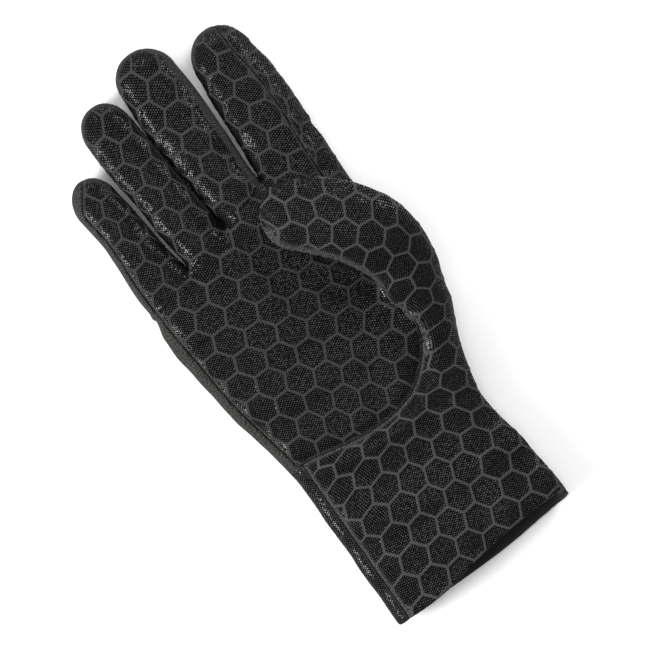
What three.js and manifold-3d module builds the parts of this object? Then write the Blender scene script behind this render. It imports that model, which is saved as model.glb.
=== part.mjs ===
// A long-cuffed diving glove of 3 mm neoprene, for the right hand. It lies on its back, palm up, with the
// thumb folded over the palm. Units are millimetres: +X points to the thumb's side, +Y to the fingertips and
// +Z up. The origin is on the flat face that the glove rests on, under the middle of the palm.
//
// Every limb (palm and cuff, four fingers, thumb) is a loft through a few oval sections. The outer limbs are
// joined, the same limbs drawn one wall smaller are taken out of them, and the hollow shell that is left is
// cut along its seams into the four panels that the real glove is sewn from.
import * as THREE from "three";
import { mergeVertices } from "three/addons/utils/BufferGeometryUtils.js";
import Module from "manifold-3d";

const wasm = await Module();
wasm.setup();

// Driving sizes
const wall = 3; // neoprene with its cloth faces
const seamGap = 0.3; // between the edges of two panels
const palmLength = 120; // heel seam to knuckle line
const palmWidth = 119;
const palmThickness = 24;
const wristWidth = 99;
const cuffLength = 88.3; // heel seam to hem, at the little finger's side
const cuffWidth = 107;
const cuffThickness = 23;
const hemSlant = 5.5; // how much shorter the cuff is on the thumb's side
const hemSetback = 5; // how far the front edge of the mouth stands behind the back edge
const fingerThickness = 21;
const pinkyLength = 63.5; // knuckle line to tip
const ringLength = 90.5;
const middleLength = 101.5;
const indexLength = 90;
const pinkyWidth = 25;
const ringWidth = 27;
const middleWidth = 31;
const indexWidth = 36;
const fingerGap = 0.8; // between the flanks of two fingers
const thumbLength = 141; // along its curved middle line, from inside the wrist to the tip
const thumbWidth = 39;
const thumbThickness = 22;
const thumbClearance = 2; // between the folded thumb and the palm under it
const webTilt = 0.31; // rise of the line of finger crotches for each millimetre towards the thumb
const sideSeamInset = 5; // how far the back panel wraps round the palm's outer edge
const cuffSeamInset = 6.5;
const indexSeamInset = 10;
const pinkySeamInset = 3.5;

// Sizes that follow
const restingSink = 0.8; // the soft underside is flattened by this much where it rests
const heelY = -palmLength / 2;
const knuckleY = palmLength / 2;
const seamHeight = fingerThickness / 2;
const palmLeft = -0.53 * palmWidth;
const palmRight = 0.475 * palmWidth;
const cuffLeft = -0.458 * cuffWidth;
const cuffRight = 0.542 * cuffWidth;

const fingerSides = 18;
const handSides = 32;
const thumbSides = 24;
const domeRows = 4;
const domeStop = 0.35; // share of a row by which a dome ends before its very tip, as a small flat
const limbSquareness = 2.4; // exponent of the ovals: 2 is an ellipse
const handSquareness = 2.8;
const thinnestHollow = wall / 2; // height that the hollow keeps inside the thin edge of the webs
const farAway = 2 * (palmLength + cuffLength + middleLength); // past every edge of the glove

// Palm sections, from the heel seam to the webs between the fingers. `at` is a share of palmLength; `left`
// and `right` go from 0 at the wrist's width to 1 at the palm's; `thick` is a share of palmThickness; `lean`
// is a share of webTilt.
const palmSections = [
  { at: 0.0, left: 0.0, right: 0.0, thick: 0.96, lean: 0 },
  { at: 0.05, left: 0.06, right: 0.04, thick: 0.97, lean: 0 },
  { at: 0.1, left: 0.12, right: 0.1, thick: 0.99, lean: 0 },
  { at: 0.17, left: 0.22, right: 0.21, thick: 1.0, lean: 0 },
  { at: 0.25, left: 0.4, right: 0.36, thick: 1.0, lean: 0 },
  { at: 0.33, left: 0.55, right: 0.5, thick: 1.0, lean: 0 },
  { at: 0.5, left: 0.74, right: 0.71, thick: 1.0, lean: 0.05 },
  { at: 0.67, left: 0.87, right: 0.86, thick: 0.98, lean: 0.25 },
  { at: 0.82, left: 1.0, right: 0.98, thick: 0.96, lean: 0.6 },
  { at: 0.93, left: 1.0, right: 1.0, thick: 0.94, lean: 1 },
];
const webAt = 1.045; // where the webs end, as a share of palmLength
const webEdge = 0.16; // thickness of that edge, as a share of palmThickness
const webNarrowing = 0.05; // how far its ends draw in, as a share of palmWidth
const webShare = 0.85; // share of palmThickness under which a section counts as web

// Cuff sections, from the heel seam to past the hem. `at` is a share of cuffLength; `left` and `right` go
// from 0 at the wrist's width to 1 at the cuff's; `thick` goes from 0 at the palm's thickness to 1 at the
// cuff's.
const cuffSections = [
  { at: 1.08, left: 1.0, right: 1.02, thick: 1.0 },
  { at: 0.9, left: 1.0, right: 0.96, thick: 1.0 },
  { at: 0.69, left: 1.0, right: 0.76, thick: 1.0 },
  { at: 0.5, left: 0.9, right: 0.5, thick: 1.0 },
  { at: 0.34, left: 0.7, right: 0.24, thick: 1.0 },
  { at: 0.2, left: 0.4, right: 0.06, thick: 0.8 },
  { at: 0.12, left: 0.2, right: 0.03, thick: 0.6 },
  { at: 0.06, left: 0.1, right: 0.01, thick: 0.5 },
];

// The mouth of the cuff. `across` is a share of cuffWidth from the middle of the palm; `back` is how far the
// back edge has risen, as a share of hemSlant; `front` is how far the front edge lies behind it, as a share
// of hemSetback.
const hem = [
  { across: -0.458, back: 0.0, front: 0.25 },
  { across: -0.19, back: 0.1, front: 0.35 },
  { across: 0.0, back: 0.13, front: 1.1 },
  { across: 0.19, back: 0.3, front: 1.5 },
  { across: 0.37, back: 0.65, front: 1.35 },
  { across: 0.542, back: 1.0, front: 1.0 },
];

// Finger sections. `at` is a share of the finger's length from the knuckle line, negative inside the palm;
// `middle` is where its centre lies from the finger's foot, as a share of its width; `width` and `thick` are
// shares of its own width and thickness. The rounded tip follows after the last row.
const fingers = [
  {
    // pinky
    length: pinkyLength,
    width: pinkyWidth,
    foot: -0.405 * palmWidth,
    sections: [
      { at: -0.3, middle: 0.0, width: 1.18, thick: 0.98 },
      { at: 0.0, middle: -0.01, width: 1.16, thick: 0.98 },
      { at: 0.16, middle: -0.04, width: 1.07, thick: 1.0 },
      { at: 0.32, middle: -0.05, width: 1.0, thick: 1.0 },
      { at: 0.47, middle: -0.07, width: 0.96, thick: 0.98 },
      { at: 0.63, middle: -0.115, width: 0.97, thick: 0.98 },
      { at: 0.76, middle: -0.165, width: 0.96, thick: 0.96 },
    ],
  },
  {
    // ring
    length: ringLength,
    width: ringWidth,
    foot: -0.172 * palmWidth,
    sections: [
      { at: -0.2, middle: 0.03, width: 1.0, thick: 1.0 },
      { at: 0.0, middle: 0.015, width: 1.0, thick: 1.02 },
      { at: 0.2, middle: -0.055, width: 1.03, thick: 1.02 },
      { at: 0.4, middle: -0.11, width: 1.0, thick: 1.0 },
      { at: 0.6, middle: -0.18, width: 1.015, thick: 1.0 },
      { at: 0.74, middle: -0.22, width: 1.015, thick: 0.98 },
      { at: 0.84, middle: -0.24, width: 0.99, thick: 0.97 },
    ],
  },
  {
    // middle
    length: middleLength,
    width: middleWidth,
    foot: 0.058 * palmWidth,
    sections: [
      { at: -0.2, middle: 0.01, width: 0.88, thick: 1.02 },
      { at: 0.0, middle: 0.01, width: 0.89, thick: 1.04 },
      { at: 0.15, middle: -0.025, width: 0.925, thick: 1.06 },
      { at: 0.32, middle: -0.045, width: 0.985, thick: 1.04 },
      { at: 0.5, middle: -0.07, width: 1.045, thick: 1.04 },
      { at: 0.68, middle: -0.09, width: 1.095, thick: 1.02 },
      { at: 0.84, middle: -0.105, width: 1.04, thick: 1.0 },
    ],
  },
  {
    // index
    length: indexLength,
    width: indexWidth,
    foot: 0.326 * palmWidth,
    sections: [
      { at: -0.25, middle: 0.0, width: 1.0, thick: 1.02 },
      { at: 0.0, middle: 0.01, width: 1.015, thick: 1.04 },
      { at: 0.2, middle: 0.02, width: 1.04, thick: 1.06 },
      { at: 0.36, middle: 0.05, width: 1.045, thick: 1.04 },
      { at: 0.52, middle: 0.06, width: 1.03, thick: 1.02 },
      { at: 0.67, middle: 0.06, width: 0.995, thick: 1.0 },
      { at: 0.8, middle: 0.05, width: 0.905, thick: 0.98 },
    ],
  },
];

// Thumb sections along its middle line. `at` is a share of thumbLength; `heading` is the line's direction in
// plan, in degrees from +X; `rise` goes from 0 at the side seam's height to 1 where the thumb lies over the
// palm; `width` and `thick` are shares of the thumb's own.
const thumbFoot = { x: 0.336 * palmWidth, y: -0.517 * palmLength };
const thumbSections = [
  { at: 0.0, heading: 68, rise: 0.0, width: 0.46, thick: 0.7 },
  { at: 0.142, heading: 71, rise: 0.05, width: 0.51, thick: 0.9 },
  { at: 0.245, heading: 76, rise: 0.2, width: 0.63, thick: 1.0 },
  { at: 0.366, heading: 84, rise: 0.46, width: 0.74, thick: 1.04 },
  { at: 0.472, heading: 95, rise: 0.72, width: 0.87, thick: 1.04 },
  { at: 0.558, heading: 109, rise: 0.9, width: 0.97, thick: 1.02 },
  { at: 0.645, heading: 122, rise: 1.0, width: 1.0, thick: 1.0 },
  { at: 0.733, heading: 133, rise: 1.02, width: 1.0, thick: 1.0 },
  { at: 0.812, heading: 141, rise: 1.01, width: 0.97, thick: 0.98 },
  { at: 0.87, heading: 146, rise: 1.0, width: 0.9, thick: 0.95 },
];
const thumbTipHeading = 150;
const thumbRise = palmThickness + thumbClearance + thumbThickness / 2 - seamHeight;
const thumbParts = 0.53; // share of thumbLength past which the thumb stands clear of the palm
const thumbMargin = thumbClearance / 3; // by which the thumb's cutters are wider than the thumb

// The curved heel seam, from the thumb's crotch round the ball of the thumb and across the wrist. `x` is a
// share of palmWidth and `y` of palmLength.
const heelSeam = [
  { x: 0.33, y: 0.01 },
  { x: 0.353, y: -0.083 },
  { x: 0.37, y: -0.2 },
  { x: 0.355, y: -0.3 },
  { x: 0.277, y: -0.4 },
  { x: 0.168, y: -0.475 },
  { x: 0.0, y: -0.5 },
  { x: -0.168, y: -0.483 },
  { x: -0.32, y: -0.454 },
];

// The heel seam pulls a groove into the front, and the cuff rolls up below it. Depths and widths are shares
// of the wall: `off` is how far from the seam the fold's middle lies, towards the fingers.
const heelFolds = [
  { off: 0.0, height: -0.45, width: 1.1 },
  { off: -2.6, height: 0.35, width: 1.8 },
  { off: 3.0, height: 0.15, width: 2.2 },
];

const mix = (a, b, share) => a + (b - a) * share;

const ballTurn = 3; // the row where it turns under the ball of the thumb

// Where the palm panel's outline crosses the tips of the outer fingers, from their foot as a share of their
// width, and where it passes the thumb's crotch, from the heel seam's start as a share of palmWidth and from
// the middle of the palm as a share of palmLength.
const pinkyTipShare = -0.1;
const indexTipShare = 0.2;
const crotchShareX = 0.05;
const crotchShareY = 0.2;

// The heel seam in millimetres, from the thumb's crotch to the palm's outer edge.
const heelLine = heelSeam.map((p) => ({ x: p.x * palmWidth, y: p.y * palmLength }));
const heelEnd = heelLine.at(-1);

// Distance from the heel seam, positive on the palm's side.
function pastHeelSeam(x, y) {
  let nearest = Infinity;
  for (let i = 0; i + 1 < heelLine.length; i++) {
    const [a, b] = [heelLine[i], heelLine[i + 1]];
    const [dx, dy] = [b.x - a.x, b.y - a.y];
    const share = THREE.MathUtils.clamp(((x - a.x) * dx + (y - a.y) * dy) / (dx * dx + dy * dy), 0, 1);
    const [ex, ey] = [x - a.x - share * dx, y - a.y - share * dy];
    const distance = Math.hypot(ex, ey);
    if (distance < Math.abs(nearest)) nearest = distance * Math.sign(dx * ey - dy * ex || 1) * -1;
  }
  return nearest;
}

// How far the front surface is raised at a place by the folds along the heel seam.
function foldHeight(x, y) {
  const past = pastHeelSeam(x, y) / wall;
  const rise = (fold) => fold.height * wall * Math.exp(-(((past - fold.off) / fold.width) ** 2));
  return heelFolds.reduce((sum, fold) => sum + rise(fold), 0);
}

// One oval ring of points round `centre`, in the plane of `across` and `up`.
function oval(centre, across, up, halfWidth, halfHeight, sides, squareness = limbSquareness) {
  const ring = [];
  for (let i = 0; i < sides; i++) {
    const turn = (i / sides) * 2 * Math.PI;
    const c = Math.cos(turn);
    const s = Math.sin(turn);
    const a = Math.sign(c) * Math.abs(c) ** (2 / squareness) * halfWidth;
    const b = Math.sign(s) * Math.abs(s) ** (2 / squareness) * halfHeight;
    ring.push(centre.clone().addScaledVector(across, a).addScaledVector(up, b));
  }
  return ring;
}

// A closed manifold solid through a row of rings, each end closed on its own middle.
function loft(rings) {
  const sides = rings[0].length;
  const points = rings.flat();
  const index = [];
  for (let r = 0; r + 1 < rings.length; r++) {
    for (let i = 0; i < sides; i++) {
      const next = (i + 1) % sides;
      const [a, b] = [r * sides + i, r * sides + next];
      const [c, d] = [a + sides, b + sides];
      index.push(a, c, b, b, c, d);
    }
  }
  const middle = (ring) => ring.reduce((sum, p) => sum.add(p), new THREE.Vector3()).divideScalar(sides);
  const last = (rings.length - 1) * sides;
  points.push(middle(rings[0]), middle(rings.at(-1)));
  for (let i = 0; i < sides; i++) {
    const next = (i + 1) % sides;
    index.push(rings.length * sides, i, next);
    index.push(rings.length * sides + 1, last + next, last + i);
  }
  return solidFrom(new THREE.BufferGeometry().setFromPoints(points).setIndex(index));
}

function solidFrom(geometry) {
  geometry.deleteAttribute("normal");
  geometry.deleteAttribute("uv");
  const merged = mergeVertices(geometry);
  const mesh = new wasm.Mesh({
    numProp: 3,
    vertProperties: new Float32Array(merged.attributes.position.array),
    triVerts: new Uint32Array(merged.index.array),
  });
  return new wasm.Manifold(mesh);
}

// A block between two heights whose plan is a closed outline of { x, y } points.
function prism(outline, bottom, top) {
  const shape = new THREE.Shape(outline.map((p) => new THREE.Vector2(p.x, p.y)));
  const geometry = new THREE.ExtrudeGeometry(shape, { depth: top - bottom, bevelEnabled: false });
  return solidFrom(geometry.translate(0, 0, bottom));
}

// The rounded rows that close a limb: for each, how far it lies along the dome and how much of the last full
// row's size is left.
function domeShares(rows) {
  const shares = [];
  for (let i = 1; i <= rows; i++) {
    const angle = (i / (rows + domeStop)) * (Math.PI / 2);
    shares.push({ along: Math.sin(angle), size: Math.cos(angle) });
  }
  return shares;
}

const X = new THREE.Vector3(1, 0, 0);
const Z = new THREE.Vector3(0, 0, 1);

// The palm and cuff as one limb, drawn smaller by `inset`. The inner limb runs out past the hem.
function handLimb(inset) {
  const wristLeft = -wristWidth / 2;
  const wristRight = wristWidth / 2;
  const rows = [];
  for (const row of cuffSections) {
    rows.push({
      y: heelY - row.at * cuffLength - (row.at > 1 ? inset : 0),
      left: mix(wristLeft, cuffLeft, row.left),
      right: mix(wristRight, cuffRight, row.right),
      thick: mix(palmThickness, cuffThickness, row.thick),
      lean: 0,
    });
  }
  for (const row of palmSections) {
    rows.push({
      y: heelY + row.at * palmLength,
      left: mix(wristLeft, palmLeft, row.left),
      right: mix(wristRight, palmRight, row.right),
      thick: row.thick * palmThickness,
      lean: row.lean * webTilt,
    });
  }
  const last = rows.at(-1);
  const reach = heelY + webAt * palmLength - inset - last.y;
  for (const dome of domeShares(domeRows)) {
    const thick = mix(webEdge * palmThickness, last.thick, dome.size);
    const narrow = (1 - dome.size) * webNarrowing * palmWidth;
    const [left, right] = [last.left + narrow, last.right - narrow];
    rows.push({ ...last, left, right, y: last.y + dome.along * reach, thick });
  }
  return loft(
    rows.map((row) => {
      const halfWidth = (row.right - row.left) / 2 - inset;
      const halfHeight = Math.max((row.thick + restingSink) / 2 - inset, thinnestHollow / 2);
      const middleX = (row.left + row.right) / 2;
      const centre = new THREE.Vector3(middleX, row.y + row.lean * middleX, middleHeight(row));
      const across = new THREE.Vector3(1, row.lean, 0);
      const ring = oval(centre, across, Z, halfWidth, halfHeight, handSides, handSquareness);
      for (const p of ring) {
        const share = THREE.MathUtils.clamp((p.z - centre.z) / halfHeight, 0, 1);
        p.z += share * foldHeight(p.x, p.y);
      }
      return ring;
    }),
  );
}

// The height of a section's middle: the thin sections of the webs stay level with the side seam.
function middleHeight(row) {
  const resting = (row.thick - restingSink) / 2;
  return row.thick < webShare * palmThickness ? Math.max(resting, seamHeight) : resting;
}

function fingerLimb(finger, inset) {
  const last = finger.sections.at(-1);
  const reach = (1 - last.at) * finger.length - inset;
  const rows = finger.sections.map((row) => ({ ...row, along: row.at * finger.length, size: 1 }));
  for (const dome of domeShares(domeRows)) {
    rows.push({ ...last, along: last.at * finger.length + dome.along * reach, size: dome.size });
  }
  return loft(
    rows.map((row) => {
      const thick = row.thick * fingerThickness;
      const halfWidth = ((row.width * finger.width - fingerGap) / 2 - inset) * row.size;
      const halfHeight = ((thick + restingSink) / 2 - inset) * row.size;
      const middle = finger.foot + row.middle * finger.width;
      const centre = new THREE.Vector3(middle, knuckleY + row.along, (thick - restingSink) / 2);
      return oval(centre, X, Z, halfWidth, halfHeight, fingerSides);
    }),
  );
}

// The thumb's middle line, worked out by walking along its headings: one place, direction and size for a row.
function thumbLine() {
  const rows = thumbSections.map((row) => ({ ...row, size: 1 }));
  const last = rows.at(-1);
  for (const dome of domeShares(domeRows)) {
    const at = mix(last.at, 1, dome.along);
    rows.push({ ...last, at, heading: mix(last.heading, thumbTipHeading, dome.along), size: dome.size });
  }
  const place = new THREE.Vector3(thumbFoot.x, thumbFoot.y, seamHeight);
  rows.forEach((row, i) => {
    if (i > 0) {
      const before = rows[i - 1];
      const step = (row.at - before.at) * thumbLength;
      const heading = THREE.MathUtils.degToRad((row.heading + before.heading) / 2);
      place.x += step * Math.cos(heading);
      place.y += step * Math.sin(heading);
      place.z = seamHeight + row.rise * thumbRise;
    }
    row.place = place.clone();
  });
  rows.forEach((row, i) => {
    const before = rows[Math.max(i - 1, 0)].place;
    const after = rows[Math.min(i + 1, rows.length - 1)].place;
    const direction = after.clone().sub(before).normalize();
    row.across = direction.clone().cross(Z).normalize();
    row.up = row.across.clone().cross(direction).normalize();
    row.direction = direction;
  });
  return rows;
}

const thumbRows = thumbLine();

function thumbLimb(inset) {
  const tip = thumbRows.at(-1).place;
  return loft(
    thumbRows.map((row) => {
      const halfWidth = ((row.width * thumbWidth) / 2 - inset) * row.size;
      const halfHeight = ((row.thick * thumbThickness) / 2 - inset) * row.size;
      const pull = row.size < 1 ? inset * (1 - row.size) : 0;
      const centre = row.place.clone().addScaledVector(row.direction, -pull);
      return oval(centre, row.across, row.up, halfWidth, halfHeight, thumbSides);
    }),
  );
}

function wholeHand(inset) {
  let solid = handLimb(inset);
  for (const finger of fingers) solid = solid.add(fingerLimb(finger, inset));
  solid = solid.add(thumbLimb(inset));
  const square = [
    { x: -farAway, y: -farAway },
    { x: farAway, y: -farAway },
    { x: farAway, y: farAway },
    { x: -farAway, y: farAway },
  ];
  return solid.intersect(prism(square, inset, farAway));
}

const shell = wholeHand(0).subtract(wholeHand(wall));

// An outline moved outwards by `distance` (inwards if negative); its points run anticlockwise.
function grown(outline, distance) {
  return outline.map((p, i) => {
    const before = outline[(i + outline.length - 1) % outline.length];
    const after = outline[(i + 1) % outline.length];
    const inwards = new THREE.Vector2(p.x - before.x, p.y - before.y).normalize();
    const onwards = new THREE.Vector2(after.x - p.x, after.y - p.y).normalize();
    const normal = new THREE.Vector2(inwards.y + onwards.y, -inwards.x - onwards.x).normalize();
    const stretch = Math.max(0.5, normal.x * inwards.y - normal.y * inwards.x);
    return { x: p.x + (normal.x * distance) / stretch, y: p.y + (normal.y * distance) / stretch };
  });
}

// Where a seam lies on the flank of a limb: the limb's edge at each section, moved in by `inset`.
function sideLine(finger, side, inset) {
  return finger.sections
    .filter((row) => row.at >= 0)
    .map((row) => ({
      x: finger.foot + row.middle * finger.width + side * ((row.width * finger.width) / 2 - inset),
      y: knuckleY + row.at * finger.length,
    }));
}

function palmOutline() {
  const [pinky, , , index] = fingers;
  const outer = palmSections
    .filter((row) => row.at > 0.1 && row.at < 0.9)
    .map((row) => ({
      x: mix(-wristWidth / 2, palmLeft, row.left) + sideSeamInset,
      y: heelY + row.at * palmLength,
    }));
  const pinkyTip = { x: pinky.foot + pinkyTipShare * pinky.width, y: knuckleY + pinky.length };
  const indexTip = { x: index.foot + indexTipShare * index.width, y: knuckleY + index.length };
  const clockwise = [
    ...heelLine,
    { x: mix(-wristWidth / 2, palmLeft, palmSections[1].left) + sideSeamInset, y: heelEnd.y },
    ...outer,
    ...sideLine(pinky, -1, pinkySeamInset),
    pinkyTip,
    { x: pinkyTip.x, y: farAway },
    { x: indexTip.x, y: farAway },
    indexTip,
    ...sideLine(index, 1, indexSeamInset).reverse(),
    { x: heelLine[0].x + crotchShareX * palmWidth, y: crotchShareY * palmLength },
  ];
  return clockwise.reverse();
}

// The front of the cuff: below the heel seam, from the outer side seam to past the thumb's side.
function cuffOutline() {
  const seamX = cuffLeft + cuffSeamInset;
  const underBall = heelLine.slice(ballTurn).filter((p) => p.x > seamX + wall);
  return [
    { x: seamX, y: -farAway },
    { x: farAway, y: -farAway },
    { x: farAway, y: underBall[0].y },
    ...underBall,
    { x: seamX, y: heelEnd.y },
  ];
}

// The thumb's half above (`side` 1) or below (`side` -1) its side seams, a little wider than the thumb, from
// the section `from` on. `clearance` moves its seam face back.
function thumbHalf(side, from, clearance) {
  const margin = thumbMargin;
  const rows = thumbRows.filter((row) => row.at >= from);
  const rings = rows.map((row, i) => {
    const end = i === rows.length - 1;
    const halfWidth = (row.width * thumbWidth) / 2 + margin;
    const height = (row.thick * thumbThickness) / 2 + margin;
    const centre = row.place.clone().addScaledVector(row.direction, end ? margin + wall : 0);
    const at = (a, b) => centre.clone().addScaledVector(row.across, a).addScaledVector(row.up, b);
    const ring = [at(halfWidth, side * clearance)];
    const steps = thumbSides / 2;
    for (let k = 0; k <= steps; k++) {
      const turn = (k / steps) * Math.PI;
      const c = Math.cos(turn);
      const a = Math.sign(c) * Math.abs(c) ** (2 / limbSquareness) * halfWidth;
      const b = Math.abs(Math.sin(turn)) ** (2 / limbSquareness) * height;
      if (b > clearance) ring.push(at(a, side * b));
    }
    ring.push(at(-halfWidth, side * clearance));
    return ring;
  });
  return loft(side > 0 ? rings : rings.map((ring) => ring.reverse()));
}

// Cutters for one side of a seam: `gap` is half the seam gap, positive to grow the cutter and negative to
// shrink it.
function palmCutter(gap) {
  const top = palmThickness + thumbClearance / 2;
  return prism(grown(palmOutline(), gap), seamHeight - gap, top + gap);
}

function cuffCutter(gap) {
  return prism(grown(cuffOutline(), gap), seamHeight - gap, farAway).add(thumbHalf(1, 0, -gap));
}

// What is cut away below the hem: a block for the back edge, and a second one for the front edge behind it.
function hemCutter() {
  const low = heelY - cuffLength;
  const backEdge = hem.map((p) => ({ x: p.across * cuffWidth, y: low + p.back * hemSlant }));
  const frontEdge = backEdge.map((p, i) => ({ x: p.x, y: p.y + hem[i].front * hemSetback }));
  const below = (edge) => [
    { x: -farAway, y: -farAway },
    { x: farAway, y: -farAway },
    { x: farAway, y: edge.at(-1).y },
    ...edge.toReversed(),
    { x: -farAway, y: edge[0].y },
  ];
  return prism(below(backEdge), -farAway, farAway).add(prism(below(frontEdge), seamHeight, farAway));
}

// The one body that a cut leaves; the crumbs where two seams meet are dropped.
function largest(solid) {
  return solid.decompose().sort((a, b) => b.volume() - a.volume())[0];
}

const half = seamGap / 2;
const trimmed = shell.subtract(hemCutter());
const aroundPalm = trimmed.subtract(palmCutter(half));
const thumbUnder = thumbHalf(-1, thumbParts, half);
const thumbUnderWide = thumbHalf(-1, thumbParts, 0);

const panels = {
  palm_panel: trimmed.intersect(palmCutter(-half)),
  cuff_thumb_panel: aroundPalm.intersect(cuffCutter(-half)),
  thumb_inner_panel: aroundPalm.subtract(cuffCutter(half)).intersect(thumbUnder),
  back_panel: aroundPalm.subtract(cuffCutter(half)).subtract(thumbUnderWide),
};

// Materials: dark printed neoprene, a little lighter on the outer face of the thumb and cuff
const printedNeoprene = new THREE.MeshStandardMaterial({ color: 0x2b2c2d, roughness: 0.72, metalness: 0 });
const thumbNeoprene = new THREE.MeshStandardMaterial({ color: 0x343636, roughness: 0.72, metalness: 0 });

function meshFrom(solid, name, material) {
  const { vertProperties, triVerts, numProp } = solid.getMesh();
  const geometry = new THREE.BufferGeometry();
  geometry.setAttribute("position", new THREE.BufferAttribute(new Float32Array(vertProperties), numProp));
  geometry.setIndex(new THREE.BufferAttribute(new Uint32Array(triVerts), 1));
  geometry.computeVertexNormals();
  const mesh = new THREE.Mesh(geometry, material);
  mesh.name = name;
  return mesh;
}

const glove = new THREE.Group();
for (const [name, solid] of Object.entries(panels)) {
  const material = name === "cuff_thumb_panel" ? thumbNeoprene : printedNeoprene;
  glove.add(meshFrom(largest(solid), name, material));
}

export default glove;
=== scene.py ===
# %% [markdown]
# # A diving glove in printed neoprene
# The real glove is four flat-cut panels of 3 mm foam rubber with a cloth face, glued edge to edge. It
# lies on its back with the thumb folded over the palm. The construction model gives its frame: real size,
# in metres, with the resting face at height zero. Its panels are plain and smooth. This lesson grows the
# soft panels around that frame, and starts by loading it and measuring its box.

# %% Load the frame
import math
import bpy
import numpy as np
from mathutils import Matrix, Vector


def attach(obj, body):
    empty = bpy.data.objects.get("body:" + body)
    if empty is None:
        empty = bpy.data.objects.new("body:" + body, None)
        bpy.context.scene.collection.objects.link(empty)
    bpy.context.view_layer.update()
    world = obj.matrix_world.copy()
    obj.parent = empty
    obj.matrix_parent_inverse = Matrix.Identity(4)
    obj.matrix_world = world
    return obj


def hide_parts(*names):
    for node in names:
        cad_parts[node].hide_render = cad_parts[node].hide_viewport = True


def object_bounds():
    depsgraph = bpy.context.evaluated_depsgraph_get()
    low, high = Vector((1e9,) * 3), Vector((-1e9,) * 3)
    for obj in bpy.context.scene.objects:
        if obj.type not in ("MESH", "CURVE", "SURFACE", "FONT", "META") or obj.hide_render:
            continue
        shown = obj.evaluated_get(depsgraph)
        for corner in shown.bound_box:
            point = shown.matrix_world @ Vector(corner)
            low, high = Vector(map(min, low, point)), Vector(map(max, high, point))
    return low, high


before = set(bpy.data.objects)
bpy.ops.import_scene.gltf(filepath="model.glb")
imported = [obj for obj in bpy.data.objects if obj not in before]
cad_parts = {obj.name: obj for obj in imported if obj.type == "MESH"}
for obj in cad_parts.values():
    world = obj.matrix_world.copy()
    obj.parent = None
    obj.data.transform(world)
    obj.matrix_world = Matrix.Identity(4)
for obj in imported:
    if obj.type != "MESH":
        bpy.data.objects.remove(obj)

import openvdb
from mathutils import Vector

cad_low, cad_high = [np.array(corner) * 1000 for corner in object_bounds()]
print("construction box in mm:", cad_low.round(1), cad_high.round(1))

# %% [markdown]
# ## Sizes
# Everything below works in millimetres. The sizes could be typed in once more, but they are scaled by the
# length of the frame, so the soft model always fits the construction. A wall is 3 mm thick, the palm 24
# mm when a hand has shaped it, and the fingers are a little flatter. The panels are glued edge to edge,
# so the gap between two of them is only a hair wide. The glove sags under its own weight: SINK is how far
# its round back would reach below the floor, if the floor did not press it flat.

# %% Named sizes
NOMINAL_LENGTH = 309.8
SIZE = (cad_high[1] - cad_low[1]) / NOMINAL_LENGTH
WALL = 3.0
SEAM_GAP = 0.04
PALM_LENGTH = 120 * SIZE
PALM_WIDTH = 119 * SIZE
PALM_THICK = 24.0
WRIST_WIDTH = 99 * SIZE
CUFF_LENGTH = 88.3 * SIZE
CUFF_WIDTH = 107 * SIZE
FINGER_THICK = 21.0
THUMB_LENGTH = 141 * SIZE
THUMB_WIDTH = 39 * SIZE
THUMB_THICK = 22.0
SINK = 0.8
HEEL_Y = -PALM_LENGTH / 2
KNUCKLE_Y = PALM_LENGTH / 2
SEAM_Z = FINGER_THICK / 2
print("scale of the sizes:", round(SIZE, 4))

# %% [markdown]
# ## Sections of the hand
# Cuff, wrist and palm are one flat tube that narrows at the wrist. Such a form could be sculpted. A short
# table of sections does it too, as in the construction, and it stays readable: each row says how far
# along the tube it lies, where its two edges are and how thick it is. The tube's upper end is the web
# between the fingers.

# %% Table of the hand
# Rows: distance from the heel seam as a share of PALM_LENGTH, left edge, right edge (0 at the wrist's
# width, 1 at the palm's or the cuff's), thickness as a share of PALM_THICK.
HAND_ROWS = np.array([
    [-0.7947, 1.00, 1.02, 0.958],
    [-0.6622, 1.00, 0.96, 0.958],
    [-0.5077, 1.00, 0.76, 0.958],
    [-0.3679, 0.90, 0.50, 0.958],
    [-0.2502, 0.70, 0.24, 0.958],
    [-0.1472, 0.40, 0.06, 0.967],
    [-0.0441, 0.10, 0.01, 0.980],
    [0.05, 0.06, 0.04, 0.98],
    [0.17, 0.22, 0.21, 1.00],
    [0.33, 0.55, 0.50, 1.00],
    [0.50, 0.74, 0.71, 1.00],
    [0.67, 0.87, 0.86, 0.98],
    [0.82, 1.00, 0.98, 0.96],
    [0.93, 1.00, 1.00, 0.94],
])
# How the palm's and the cuff's width are shared out to the left and right of the glove's middle line.
PALM_LEFT, PALM_RIGHT = 0.53, 0.475
CUFF_LEFT, CUFF_RIGHT = 0.458, 0.542
# The web: its place as a share of PALM_LENGTH, its lean, how thin its edge is, how much it narrows.
WEB_AT, WEB_TILT = 1.045, 0.31
WEB_EDGE, WEB_NARROWING = 0.16, 0.07
print("hand rows:", len(HAND_ROWS))

# %% [markdown]
# ## Sections of the fingers
# The fingers of a glove that has been worn are not straight tubes: they lean, narrow above the web and
# swell towards the tip. One table for each keeps that apart from the length and width, which are sizes in
# millimetres.

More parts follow.
